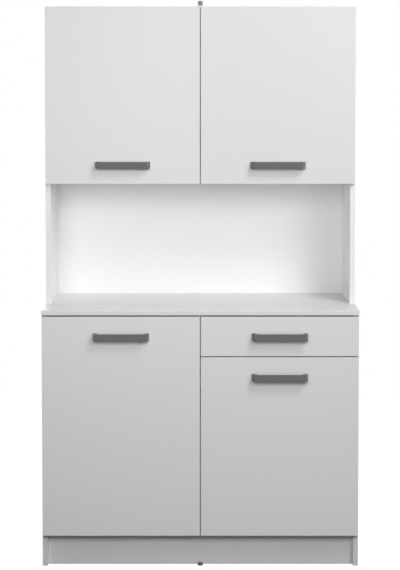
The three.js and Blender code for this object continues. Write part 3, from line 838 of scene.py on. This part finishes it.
@dataclass(frozen=True)
class Lacquer(Finish):
    """Sprayed metal: graphite handles and pale coated steel, with a fine pearl and rubbed edges."""

    waves: float = 26.0
    swing: float = 0.03
    pearl: float = 1400.0
    pearl_mm: float = 0.01
    pearl_gloss: float = 0.14
    flakes_finer: float = 1.6
    fleck: float = 0.05
    rubbed: float = 0.12
    rubbed_mm: float = 2.2
    rubbed_gain: float = 1.6
    rubbed_lift: float = 0.02

    def paint(self, canvas: Canvas) -> tuple[Feed, Feed, Feed]:
        """Paints the lacquer with glinting flakes, lighter where its edges are rubbed.

        Args:
            canvas: The fitting's wiring.

        Returns:
            Colour, roughness and normal.
        """
        site, effects = canvas.site, self.effects
        rim = canvas.effect(effects.rim, Low=site.low, High=site.high, Width=self.rubbed_mm * MM,
                            Band=FAR_AWAY)["Rim"]
        grain = canvas.effect(effects.pearl, Scale=self.pearl)["Height"]
        flakes = canvas.red(canvas.cells(canvas.place, self.pearl * self.flakes_finer)["Color"])
        glint = canvas.swung(flakes, self.fleck, self.tone(canvas))
        light = tuple(min(1.0, part * self.rubbed_gain + self.rubbed_lift) for part in self.colour)
        colour = canvas.traced(canvas.shade(self.colour, glint), rim, Trace(self.rubbed, light))
        gloss = canvas.swung(grain, self.pearl_gloss, self.roughness)
        return colour, gloss, canvas.bump(grain, self.pearl_mm)


@dataclass(frozen=True)
class PlatedSteel(Finish):
    """Bright plated steel, rolled or stamped, with drawn lines and a soft mottle."""

    waves: float = 45.0
    swing: float = 0.05
    metallic: float = 1.0
    stretch: Triple = (0.05, 1.0, 1.0)
    lines: float = 2400.0
    lines_mm: float = 0.006
    lines_gloss: float = 0.16
    stain: Trace = Trace(0.35, (0.48, 0.45, 0.40), 0.1225)

    def paint(self, canvas: Canvas) -> tuple[Feed, Feed, Feed]:
        """Paints the plating, duller and stained in places.

        Args:
            canvas: The fitting's wiring.

        Returns:
            Colour, roughness and normal.
        """
        drawn = canvas.effect(self.effects.brush, Stretch=self.stretch, Scale=self.lines)
        dull = canvas.spread(drawn["Mottle"], low=0.5, high=0.78)
        colour = canvas.traced(canvas.shade(self.colour, self.tone(canvas)), dull, self.stain)
        gloss = canvas.line(dull, self.stain.roughness, self.roughness)
        gloss = canvas.swung(drawn["Height"], self.lines_gloss, gloss)
        return colour, gloss, canvas.bump(drawn["Height"], self.lines_mm)


@dataclass(frozen=True)
class MouldedPlastic(Finish):
    """Injection-moulded plastic with a fine eroded texture and scuffs."""

    waves: float = 60.0
    swing: float = 0.04
    grain: float = 2100.0
    texture_mm: float = 0.02
    scuffs: float = 700.0
    scuff_stretch: Triple = (1.0, 0.2, 1.0)
    scuff: Trace = Trace(0.4, (0.16, 0.16, 0.16), 0.1)

    def paint(self, canvas: Canvas) -> tuple[Feed, Feed, Feed]:
        """Paints the plastic with its eroded grain and rougher scuffs.

        Args:
            canvas: The fitting's wiring.

        Returns:
            Colour, roughness and normal.
        """
        grain = canvas.effect(self.effects.pearl, Scale=self.grain)["Height"]
        along = canvas.vector("MULTIPLY", canvas.place, self.scuff_stretch)
        scuffs = canvas.spread(canvas.noise(along, self.scuffs, detail=4.0), low=0.62, high=0.72)
        colour = canvas.traced(canvas.shade(self.colour, self.tone(canvas)), scuffs, self.scuff)
        gloss = canvas.line(scuffs, self.scuff.roughness, self.roughness)
        return colour, gloss, canvas.bump(grain, self.texture_mm)


class Palette:
    """The finishes of this cabinet: those made for each piece, and the coats that many pieces share."""

    def __init__(self) -> None:
        """Makes the shared effects and the finishes that use them."""
        effects = Effects()
        self.carcass = Melamine(effects)
        self.fronts = Melamine(effects, colour=(0.68, 0.68, 0.68), band=(0.68, 0.68, 0.68), roughness=0.2,
                               specular=1.0)
        self.top = Melamine(effects, colour=(0.77, 0.77, 0.77), band=(0.70, 0.70, 0.70), band_mm=2.4,
                            roughness=0.36)
        # base side panels' front edges painted a darker grey: painted shade for the low light near the floor
        self.base = Melamine(effects, band=(0.66, 0.66, 0.66))
        # plinth board painted a darker grey than the carcass: painted shade of its recess under the doors,
        # added to the lamps' own shade
        self.plinth_painted_shade = Melamine(effects, colour=(0.65, 0.65, 0.65), band=(0.65, 0.65, 0.65))
        self.hardboard = Hardboard(effects)
        self.graphite = Lacquer(effects, "graphite_handle", (0.123, 0.123, 0.124), 0.36, metallic=0.35)
        self.coated = Lacquer(effects, "coated_steel", (0.70, 0.70, 0.69), 0.38, pearl=900.0, fleck=0.01,
                              rubbed=0.05)
        nickel = PlatedSteel(effects, "nickel_steel", (0.74, 0.72, 0.69), 0.24)
        tarnish = PlatedSteel.stain._replace(colour=(0.5, 0.47, 0.38))
        zinc = PlatedSteel(effects, "zinc_steel", (0.66, 0.67, 0.70), 0.34, stain=tarnish)
        dark = MouldedPlastic(effects, "dark_plastic", (0.085, 0.085, 0.087), 0.5)
        pale = MouldedPlastic(effects, "", (0.74, 0.74, 0.72), 0.42,
                              scuff=MouldedPlastic.scuff._replace(colour=(0.6, 0.59, 0.56)))
        grey = MouldedPlastic(effects, "", (0.24, 0.24, 0.24), 0.5,
                              scuff=MouldedPlastic.scuff._replace(colour=(0.34, 0.34, 0.33)))
        self.nickel, self.zinc = nickel.make("nickel_steel"), zinc.make("zinc_steel")
        self.dark, self.pale = dark.make("dark_plastic"), pale.make("pale_plastic")
        self.grey = grey.make("grey_plastic")


# ------------------------------------------------------------------ pieces


def dress(node: str, coat: Coat) -> None:
    """Gives a CAD node its material.

    Args:
        node: The node's name.
        coat: The material, with a slot that the node has already.
    """
    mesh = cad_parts[node].data
    mesh.materials.clear()
    mesh.materials.append(coat.material)
    log.info("dressed %s in %s", node, coat.material.name)


def soften(node: str, edge_mm: float, segments: int, sharp: float) -> None:
    """Rounds a CAD node's edges, with modifiers that weld its loose triangles first.

    Args:
        node: The node's name.
        edge_mm: How wide the rounding is.
        segments: Faces across it.
        sharp: Angle in degrees from which an edge is rounded.
    """
    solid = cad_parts[node]
    solid.modifiers.new("weld", "WELD").merge_threshold = WELD_WITHIN
    edges = solid.modifiers.new("edges", "BEVEL")
    edges.width = edge_mm * MM
    edges.segments = segments
    edges.limit_method = "ANGLE"
    edges.angle_limit = math.radians(sharp)


def add_piece(name: str, surfaces: list[Surface], body: str, coat: Coat) -> bpy.types.Object:
    """Makes closed surfaces into a piece that rides on a body.

    Args:
        name: The piece's name.
        surfaces: Its surfaces, in millimetres.
        body: The body that carries it.
        coat: Its material, and a slot name that is not used.

    Returns:
        The object.
    """
    material, slot = coat
    surface = Surface.together(surfaces)
    mesh = bpy.data.meshes.new(name)
    mesh.from_pydata((surface.points * MM).tolist(), [], surface.faces)
    shell = bmesh.new()
    shell.from_mesh(mesh)
    bmesh.ops.recalc_face_normals(shell, faces=shell.faces)
    shell.to_mesh(mesh)
    shell.free()
    mesh.polygons.foreach_set("use_smooth", np.ones(len(mesh.polygons), bool))
    mesh.set_sharp_from_angle(angle=math.radians(CREASE))
    mesh.materials.append(material)
    made = bpy.data.objects.new(name, mesh)
    bpy.context.scene.collection.objects.link(made)
    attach(made, body)
    log.info("piece %s on %s: %d faces", name, body, len(mesh.polygons))
    return made


@dataclass
class Boards:
    """Melamine boards of both carcasses, of the drawer's sides and back, and of the fronts."""

    palette: Palette
    edge_mm: float = 0.4
    sharp: float = 50.0
    bare_in: float = 0.0003
    plain: tuple[str, ...] = tuple(
        f"{part}_{board}" for part in ("base", "hutch")
        for board in ("left_side", "right_side", "bottom", "partition", "shelf_left", "shelf_right")
    ) + ("hutch_top", "worktop", "plinth", "drawer_wrap")

    def finish(self, node: str) -> Melamine:
        """Chooses a board's finish: some faces or front edges are a tone apart from the carcass, some as
        painted shade.

        Args:
            node: The board's name.

        Returns:
            The finish.
        """
        # the plinth's darker colour and the base sides' darker front edges are painted shade
        special = {"worktop": self.palette.top, "plinth": self.palette.plinth_painted_shade,
                   "base_left_side": self.palette.base, "base_right_side": self.palette.base}
        return special.get(node, self.palette.carcass)

    def build(self) -> None:
        """Dresses every board; the core shows at the rear of the plain ones, and under those on the floor."""
        for node in self.plain:
            low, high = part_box(node)
            under = low.z + self.bare_in if low.z < MM else -FAR_AWAY
            site = Site.of(node, bare_behind=high.y - self.bare_in, bare_under=under)
            dress(node, self.finish(node).make(node, site))
            soften(node, self.edge_mm, 2, self.sharp)
        fronts = [(f"{door}_door", f"{door}_handle") for door in DOORS]
        for node, handle in (*fronts, ("drawer_front", "drawer_handle")):
            x, _, z = box_mm(handle).middle * MM
            site = Site.of(node, handle=(x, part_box(node)[0].y, z))
            dress(node, self.palette.fronts.make(node, site))


@dataclass
class BackSheets:
    """Nailed fibreboard backs, so much thinner than the CAD boards that the nail heads stay inside those."""

    palette: Palette
    proud: float = 0.35
    edge: float = 0.25
    lacquer_in: float = 1.2
    nail: Button = Button(((0.6, -1.2), (0.6, -0.05), (2.1, -0.05), (2.3, 0.1), (1.9, 0.27), (0.9, 0.34),
                           (0.1, 0.35)), 12)
    spacing: float = 96.0
    inset: float = 7.0

    def build(self) -> None:
        """Makes the two sheets and their nails."""
        for part in ("base", "hutch"):
            node = f"{part}_back"
            low, high = box_mm(node)
            face = high[1] - self.proud
            site = Site(bare_behind=(face - self.lacquer_in) * MM)
            coat = self.palette.hardboard.make(f"{node}_sheet", site)
            sheet = slab(low, np.array([high[0], face, high[2]]), self.edge, Facing.REAR)
            made = add_piece(f"{node}_sheet", [sheet], "root", coat)
            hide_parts(node)
            middle = box_mm(f"{part}_bottom").middle[2]
            heads = [self.nail.at((x, face, z), Facing.REAR) for x, z in self.places(low, high, middle)]
            add_piece(f"{node}_nails", heads, "root", self.palette.zinc)

    def places(self, low: np.ndarray, high: np.ndarray, level: float) -> list[Pair]:
        """Nail places along the sheet's top and sides, down its middle and along a level board.

        Args:
            low: Lowest corner of the sheet.
            high: Highest corner of the sheet.
            level: Height of the level board that is nailed too.

        Returns:
            Pairs of x and z.
        """
        (x0, _, z0), (x1, _, z1) = low + self.inset, high - self.inset
        across = np.linspace(x0, x1, round((x1 - x0) / self.spacing) + 1)
        up = np.linspace(z0, z1, round((z1 - z0) / self.spacing) + 1)
        places = [(x, z) for z in (z1, level) for x in across]
        places += [(x, z) for x in (x0, x1) for z in up[:-1] if abs(z - level) > self.inset]
        first = max(level, z0) + self.spacing
        return places + [(0.0, z) for z in np.arange(first, z1 - self.inset, self.spacing)]


@dataclass
class BowHandle:
    """Cast bow handle: a flat bar on two legs that spread to their feet, drawn from above, and its screws.

    Outer and inner outline run side by side from one foot to the other, and a rounded section spans them.
    Pan-head screws hold it from the inside of its front.
    """

    palette: Palette
    name: str
    board: str
    body: str
    bar: float = 7.0
    foot: float = 15.0
    leg_share: float = 0.6
    splay: float = 7.5
    bend: float = 5.0
    inner_bend: float = 3.0
    edge: float = 1.5
    crown: float = 0.35
    corner: int = 7
    steps: tuple[int, int, int] = (7, 10, 8)
    spacing: float = 160.0
    head: ScrewHead = ScrewHead(radius=4.0, height=1.9, shank=2.0, sunk=0.4, cross=0.6)

    def outline(self, foot_x: float, end_x: float, reach: float, bend: float) -> np.ndarray:
        """Outline from one foot round both bends to the other foot.

        The leg is a straight line from (foot_x, 0) to the bend, the bend round the corner b is
        (1 - t)^2 a + 2 t (1 - t) b + t^2 c, and half the bar is a straight line from the bend to its middle.
        The other half is the mirror image.

        Args:
            foot_x: Where the leg meets the front, from the middle.
            end_x: Where the leg's line meets the bar's.
            reach: How far the bar's line stands off the front.
            bend: Length of the bend along both lines.

        Returns:
            Points as rows by 2, of distance along the front and off it.
        """
        corner = np.array([end_x, reach])
        into = corner + np.array([(foot_x - end_x) / reach, -1.0]) * bend
        away = corner - np.array([bend, 0.0])
        down, t, rest = (np.linspace(0, 1, steps + 1)[:, None] for steps in self.steps)
        leg = (1 - down) * np.array([foot_x, 0.0]) + down * into
        round_part = (1 - t) ** 2 * into + 2 * t * (1 - t) * corner + t**2 * away
        bar = (1 - rest) * away + rest * np.array([0.0, reach])
        half = np.concatenate([leg, round_part[1:], bar[1:]])
        return np.concatenate([half, half[-2::-1] * (-1, 1)])

    def build(self) -> None:
        """Makes the handle in place of its CAD node, and its two screws."""
        box = box_mm(self.name)
        half, reach, tall = (box.high - box.low) / (2, 1, 2)
        bar_end = half - self.splay
        inner_end = bar_end - self.leg_share * self.foot - self.splay / reach * self.bar
        outer = self.outline(half, bar_end, reach, self.bend)
        inner = self.outline(half - self.foot, inner_end, reach - self.bar, self.inner_bend)
        middle, radial = (outer + inner) / 2, (outer - inner) / 2
        wide = np.linalg.norm(radial, axis=1)
        size = np.stack([wide, np.full_like(wide, tall)], -1)
        section = rounded_outline(size, np.full_like(size, self.edge), self.corner)
        off, level = section[..., 0] / wide[:, None], section[..., 1]
        off = np.where(off > 0, off * (1 - self.crown / wide[:, None] * (level / tall) ** 2), off)
        flat = middle[:, None, :] + radial[:, None, :] * off[..., None]
        rings = np.stack([flat[..., 0], level, flat[..., 1]], axis=-1)
        x, _, z = box.middle
        bow = skin(Facing.FRONT.place(rings, (x, box.high[1], z)))
        coat = self.palette.graphite.make(f"{self.name}_bow", Site.of(self.name))
        made = add_piece(f"{self.name}_bow", [bow], self.body, coat)
        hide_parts(self.name)
        rear = box_mm(self.board).high[1]
        heads = [self.head.at((x + way * self.spacing / 2, rear, z), Facing.REAR, turn=0.4 + way * 0.3)
                 for way in (-1, 1)]
        add_piece(f"{self.name}_screws", heads, self.body, self.palette.zinc)


@dataclass
class ConcealedHinge:
    """Fittings of one cup hinge: the cup's screws, the plate's, and the arm's two adjusting screws."""

    palette: Palette
    name: str
    leaf: str
    cup_spacing: float = 45.0
    plate_spacing: float = 32.0
    plate_sheet: float = 2.5
    plate_from_end: float = 27.55
    adjust_from_end: Pair = (13.0, 34.0)
    wood: ScrewHead = ScrewHead(radius=3.5, height=0.85, shank=2.0, sunk=0.5, deep=0.45)
    plate: ScrewHead = ScrewHead(radius=3.9, height=1.5, shank=2.0, sunk=0.6)
    adjust: ScrewHead = ScrewHead(radius=3.0, height=0.7, shank=1.6, sunk=0.2, cross=0.45, deep=0.5)

    def build(self) -> None:
        """Dresses the hinge's three nodes and adds its screws."""
        for part in ("cup", "link", "arm"):
            dress(f"{self.name}_hinge_{part}", self.palette.nickel)
        cup, arm = box_mm(f"{self.name}_hinge_cup"), box_mm(f"{self.name}_hinge_arm")
        x, _, level = cup.middle
        sides = (-1, 1)
        heads = [self.wood.at((x, cup.high[1], level + side * self.cup_spacing / 2),
                              Facing.REAR, turn=0.3 * side) for side in sides]
        add_piece(f"{self.name}_cup_screws", heads, self.leaf, self.palette.zinc)
        looks = Facing.sideways(-x)
        wall, back = (arm.low[0], arm.high[0]) if x < 0 else (arm.high[0], arm.low[0])
        plate = wall - math.copysign(self.plate_sheet, x)
        rear = arm.high[1]
        heads = [self.plate.at((plate, rear - self.plate_from_end, level + side * self.plate_spacing / 2),
                               looks, turn=0.5 * side) for side in sides]
        heads += [self.adjust.at((back, rear - far, level), looks, turn=far) for far in self.adjust_from_end]
        add_piece(f"{self.name}_arm_screws", heads, "root", self.palette.zinc)


@dataclass
class ShelfPins:
    """Steel pins in the panels under the four shelves."""

    palette: Palette
    pin: Button = Button(((0.4, -6.2), (1.9, -6.0), (2.25, -5.6), (2.25, 0.0), (3.4, 0.0), (3.5, 0.35),
                          (3.4, 0.8), (2.45, 0.85), (2.45, 7.2), (2.1, 7.9), (1.0, 8.3), (0.1, 8.35)), 18)
    hole_in: float = 37.0
    drop: float = 2.5

    def build(self) -> None:
        """Makes four pins for each shelf, two in the partition and two in the side panel."""
        for part in ("base", "hutch"):
            partition, side_panel = box_mm(f"{part}_partition"), box_mm(f"{part}_right_side")
            rows = (partition.low[1] + self.hole_in, box_mm(f"{part}_back").low[1] - self.hole_in)
            walls = ((partition.high[0], 1), (side_panel.low[0], -1))
            for side, way in (("left", -1), ("right", 1)):
                level = box_mm(f"{part}_shelf_{side}").low[2] - self.drop
                pins = [self.pin.at((way * wall, y, level), Facing.sideways(way * inward))
                        for wall, inward in walls for y in rows]
                add_piece(f"{part}_shelf_{side}_pins", pins, "root", self.palette.nickel)


@dataclass
class CornerCovers:
    """White caps over the cam bolts of the level boards and over the screws into the partitions."""

    palette: Palette
    cap: Button = Button(((6.5, 0.0), (8.0, 0.0), (8.2, 0.3), (7.9, 0.75), (6.0, 1.1), (3.0, 1.25),
                          (0.1, 1.3)), 28)
    small: Button = Button(((4.5, 0.0), (6.0, 0.0), (6.15, 0.25), (5.8, 0.6), (3.5, 0.9), (0.1, 1.0)), 24)
    cam_x: float = 450.0
    base_rows: Pair = (-134.0, 165.0)
    hutch_rows: Pair = (16.0, 175.0)

    def build(self) -> None:
        """Makes the cam caps, and then the screw caps, of each level board as one piece."""
        boards = (("base_bottom", self.base_rows, Facing.DOWN, Facing.DOWN),
                  ("hutch_bottom", self.hutch_rows, Facing.UP, Facing.DOWN),
                  ("hutch_top", self.hutch_rows, Facing.DOWN, Facing.UP))
        for node, rows, cams_look, _ in boards:
            self.cover(f"{node}_cam_covers", self.cap, (-self.cam_x, self.cam_x), rows, node, cams_look)
        for node, rows, _, screws_look in boards:
            self.cover(f"{node}_screw_covers", self.small, (0.0,), rows, node, screws_look)

    def cover(self, name: str, cap: Button, spots: tuple[float, ...], rows: Pair, node: str,
              looks: Facing) -> None:
        """Sets caps of one kind on a level board.

        Args:
            name: The piece's name.
            cap: The cap.
            spots: Their places across the cabinet.
            rows: Their places front to back.
            node: The board.
            looks: UP or DOWN.
        """
        box = box_mm(node)
        face = box.high[2] if looks is Facing.UP else box.low[2]
        add_piece(name, [cap.at((x, y, face), looks) for x in spots for y in rows], "root", self.palette.pale)


@dataclass
class DrawerFittings:
    """Runners with their rollers and screws, and the brackets between the drawer's sides and its front."""

    palette: Palette
    roller: Button = Button(((2.2, -0.1), (6.6, -0.1), (7.15, 0.4), (7.15, 6.1), (6.6, 6.5), (4.0, 6.5),
                             (3.6, 6.1), (2.6, 6.1), (2.3, 6.9), (0.3, 7.0)), 32)
    wood: ScrewHead = ScrewHead(radius=3.5, height=1.2, shank=1.8, sunk=0.5)
    lacquer: float = 0.4
    sheet: float = 1.3
    roller_from: float = 2.1
    roller_up: float = 8.5
    front_roller_in: float = 22.0
    rear_roller_in: float = 12.0
    rail_screws: tuple[float, ...] = (35.0, 175.0, 315.0)
    rail_screws_down: float = 7.0
    foot_screws: tuple[float, ...] = (40.0, 175.0, 320.0)
    foot_screws_in: float = 18.0
    side_board: float = 12.0
    bracket_leg: float = 24.0
    bracket_bend: float = 2.0
    bracket_sheet: float = 1.6
    bracket_height: float = 34.0
    bracket_up: float = 8.0
    bracket_screw_share: float = 0.62

    def build(self) -> None:
        """Dresses the drawer's bottom and the runners, and adds what they carry."""
        under = (box_mm("drawer_bottom").low[2] + self.lacquer) * MM
        dress("drawer_bottom", self.palette.hardboard.make("drawer_bottom", Site(bare_under=under)))
        self.runner("left", box_mm("base_partition").high[0], 1)
        self.runner("right", box_mm("base_right_side").low[0], -1)
        self.brackets()

    def runner(self, side: str, wall: float, hand: int) -> None:
        """Adds the rollers and screws of the runner on one side.

        Args:
            side: left or right.
            wall: Where the carcass wall stands.
            hand: 1 where the drawer lies towards +X of that wall, -1 where it lies towards -X.
        """
        looks = Facing.sideways(hand)
        for half in ("cabinet", "drawer"):
            node = f"{half}_runner_{side}"
            dress(node, self.palette.coated.make(node, Site.of(node)))
        rail, slide = box_mm(f"cabinet_runner_{side}"), box_mm(f"drawer_runner_{side}")
        at, up = wall + hand * self.roller_from, rail.low[2] + self.roller_up
        front = box_mm("base_partition").low[1] + self.front_roller_in
        rear = slide.high[1] - self.rear_roller_in
        for half, body, y in (("cabinet", "root", front), ("drawer", "drawer", rear)):
            roller = self.roller.at((at, y, up), looks)
            add_piece(f"{half}_runner_{side}_roller", [roller], body, self.palette.pale)
        face, level = wall + hand * self.sheet, rail.high[2] - self.rail_screws_down
        heads = [self.wood.at((face, rail.low[1] + far, level), looks, turn=far) for far in self.rail_screws]
        add_piece(f"cabinet_runner_{side}_screws", heads, "root", self.palette.zinc)
        foot = wall + hand * self.foot_screws_in
        heads = [self.wood.at((foot, slide.low[1] + far, slide.low[2]), Facing.DOWN, turn=far)
                 for far in self.foot_screws]
        add_piece(f"drawer_runner_{side}_screws", heads, "drawer", self.palette.zinc)

    def brackets(self) -> None:
        """Makes the two angle brackets in the drawer's front corners, with their screws.

        Their path runs along the front, round the bend, where it is half + bend * (1 - sin t, 1 - cos t) with
        half the sheet's half thickness, and along the side.
        """
        wrap, rear = box_mm("drawer_wrap"), box_mm("drawer_front").high[1]
        level = wrap.middle[2] + self.bracket_up
        across = (level - self.bracket_height / 2, level + self.bracket_height / 2)
        half, leg = self.bracket_sheet / 2, self.bracket_leg
        turn = np.linspace(0, math.pi / 2, 6)
        corner = half + self.bracket_bend * (1 - np.column_stack([np.sin(turn), np.cos(turn)]))
        path = np.concatenate([[(leg, half)], corner, [(half, leg)]])
        for label, wall, way in (("left", wrap.low[0] + self.side_board, 1),
                                 ("right", wrap.high[0] - self.side_board, -1)):
            plate = strip(path * (way, 1), self.bracket_sheet, across, Facing.UP, (wall, rear, 0.0))
            out, sheet = leg * self.bracket_screw_share, self.bracket_sheet
            screws = [self.wood.at((wall + way * out, rear + sheet, level), Facing.REAR, turn=0.7),
                      self.wood.at((wall + way * sheet, rear + out, level), Facing.sideways(way), turn=0.2)]
            add_piece(f"drawer_{label}_bracket", [plate], "drawer", self.palette.zinc)
            add_piece(f"drawer_{label}_bracket_screws", screws, "drawer", self.palette.zinc)


@dataclass
class WallFixing:
    """Wall bracket on the top with its screw and the cap over its hole, and the glide under the plinth."""

    palette: Palette
    head: ScrewHead = ScrewHead(radius=4.2, height=1.8, shank=2.2, sunk=1.2)
    cap: Button = Button(((2.4, -1.2), (2.4, 0.0), (7.6, 0.0), (7.9, 0.5), (7.6, 1.6), (6.4, 2.6), (4.4, 3.2),
                          (2.2, 3.5), (0.1, 3.6)), 32)
    sheet: float = 2.0
    hole_up: float = 26.0
    screw_in: float = 13.0
    foot_edge: float = 1.2
    foot_sharp: float = 30.0

    def build(self) -> None:
        """Dresses the bracket and the foot, adds screw and cap and rounds the foot."""
        dress("wall_bracket", self.palette.nickel)
        dress("centre_foot", self.palette.dark)
        soften("centre_foot", self.foot_edge, 3, self.foot_sharp)
        low, high = box_mm("wall_bracket")
        screw = self.head.at((0.0, high[1] - self.screw_in, low[2] + self.sheet), Facing.UP, turn=0.5)
        cap = self.cap.at((0.0, high[1] - self.sheet, low[2] + self.hole_up), Facing.FRONT)
        add_piece("wall_bracket_screw", [screw], "root", self.palette.zinc)
        add_piece("wall_bracket_cap", [cap], "root", self.palette.grey)


# ------------------------------------------------------------------ studio


def link_object(name: str, data: bpy.types.ID, place: Triple = (0.0, 0.0, 0.0)) -> bpy.types.Object:
    """Puts a lamp, a camera or a mesh into the scene.

    Args:
        name: The object's name.
        data: What it shows.
        place: Where it stands, in metres.

    Returns:
        The object.
    """
    made = bpy.data.objects.new(name, data)
    made.location = place
    bpy.context.scene.collection.objects.link(made)
    return made


@dataclass(frozen=True)
class Lamp:
    """Square area lamp aimed at a point, which shows in glossy faces only if it is mirrored."""

    name: str
    place: Triple
    target: Triple
    size: float
    watts: float
    mirrored: bool = True

    def build(self) -> None:
        """Makes the lamp."""
        data = bpy.data.lights.new(self.name, "AREA")
        data.size = self.size
        data.energy = self.watts
        made = link_object(self.name, data, self.place)
        aim = type(made.location)(self.target) - made.location
        made.rotation_euler = aim.to_track_quat("-Z", "Y").to_euler()
        made.visible_glossy = self.mirrored


@dataclass
class Studio:
    """White ground, soft lamps and the camera, in metres, watts and degrees.

    The floor's paint is lighter for rays that show it, and it glows white from near to far away.
    """

    lamps: tuple[Lamp, ...] = (
        Lamp("right", (2.4, -3.0, 2.2), (0.0, 0.0, 1.0), 1.6, 26.5),
        Lamp("right_near", (1.6, -3.0, 2.0), (0.0, 0.0, 1.0), 1.2, 18.6, mirrored=False),
        Lamp("above", (1.4, -1.8, 3.2), (0.0, 0.0, 0.8), 1.2, 41.0, mirrored=False),
        Lamp("left", (-0.5, -2.2, 1.5), (0.0, 0.0, 1.2), 1.0, 23.6, mirrored=False),
        Lamp("left_side", (-3.6, 0.7, 1.5), (-0.5, 0.0, 0.9), 2.0, 50.0),
        Lamp("right_side", (3.6, 0.7, 1.5), (0.5, 0.0, 0.9), 2.0, 50.0),
        Lamp("behind", (-0.8, 3.4, 2.9), (0.0, 0.2, 0.9), 2.4, 60.0))
    floor_paint: float = 0.1
    floor_seen: float = 0.24
    floor_glow: float = 0.88
    floor_size: float = 24.0
    floor_level: float = -0.0003
    near: float = 1.2
    far: float = 3.2
    lens: float = 102.76
    sensor: float = 36.0
    place: Triple = (-0.001, -5.2919, 1.4984)
    tilt: float = 2.746
    shift: float = -0.2

    @staticmethod
    def seen(wiring: Wiring) -> Socket:
        """Mask of rays that show the ground: from the camera, a reflection or through glass.

        Args:
            wiring: The tree it is placed in.

        Returns:
            1 for those rays.
        """
        path = wiring.node("ShaderNodeLightPath").outputs
        mirrored = wiring.maths("MAXIMUM", path["Is Camera Ray"], path["Is Glossy Ray"])
        return wiring.maths("MAXIMUM", mirrored, path["Is Transmission Ray"])

    def world(self) -> None:
        """Makes the surroundings: white where they are seen, without light on the object."""
        world = bpy.data.worlds.new("studio")
        world.use_nodes = True
        wiring = Wiring(world.node_tree)
        white = wiring.node("ShaderNodeBackground", {"Color": (1.0, 1.0, 1.0), "Strength": self.seen(wiring)})
        wiring.node("ShaderNodeOutputWorld", {"Surface": white.outputs[0]})
        bpy.context.scene.world = world

    def floor(self) -> None:
        """Makes the floor: it takes the shadow near the cabinet and glows white for what sees it."""
        half, level = self.floor_size / 2, self.floor_level
        corners = [(x * half, y * half, level) for x, y in ((-1, -1), (1, -1), (1, 1), (-1, 1))]
        mesh = bpy.data.meshes.new("floor")
        mesh.from_pydata(corners, [], [(0, 1, 2, 3)])
        made = link_object("floor", mesh)
        material = bpy.data.materials.new("floor")
        canvas = Canvas(material, Site())
        seen = self.seen(canvas)
        tone = canvas.line(seen, self.floor_seen - self.floor_paint, self.floor_paint)
        paint = canvas.node("ShaderNodeBsdfDiffuse", {"Color": canvas.grey(tone)})
        glow = canvas.node("ShaderNodeEmission", {"Strength": canvas.times(seen, self.floor_glow)})
        close = canvas.node("ShaderNodeAddShader", {0: paint.outputs[0], 1: glow.outputs[0]})
        white = canvas.node("ShaderNodeEmission")
        away = canvas.vector("LENGTH", canvas.place, output="Value")
        share = canvas.times(canvas.spread(away, self.near, self.far), seen)
        mixed = canvas.node("ShaderNodeMixShader", {0: share, 1: close.outputs[0], 2: white.outputs[0]})
        canvas.surface(mixed)
        mesh.materials.append(material)

    def camera(self) -> None:
        """Makes the camera at the photograph's viewing angle."""
        data = bpy.data.cameras.new("camera")
        data.lens = self.lens
        data.sensor_width = self.sensor
        data.shift_y = self.shift
        data.clip_end = FAR_AWAY
        made = link_object("camera", data, self.place)
        made.rotation_euler = (math.radians(90 - self.tilt), 0.0, 0.0)
        bpy.context.scene.camera = made

    def build(self) -> None:
        """Makes the whole studio."""
        self.world()
        self.floor()
        for lamp in self.lamps:
            lamp.build()
        self.camera()
        bpy.context.scene.view_settings.view_transform = "Standard"


def main() -> None:
    """Builds the studio and the cabinet's looks, sub-assembly by sub-assembly."""
    logging.basicConfig(level=logging.INFO, format="%(message)s")
    palette = Palette()
    Studio().build()
    Boards(palette).build()
    BackSheets(palette).build()
    ShelfPins(palette).build()
    CornerCovers(palette).build()
    WallFixing(palette).build()
    for door in DOORS:
        leaf = f"{door}_leaf"
        BowHandle(palette, f"{door}_handle", f"{door}_door", leaf).build()
        for level in ("bottom", "top"):
            ConcealedHinge(palette, f"{door}_{level}", leaf).build()
    BowHandle(palette, "drawer_handle", "drawer_front", "drawer").build()
    DrawerFittings(palette).build()


if __name__ == "__main__":
    main()
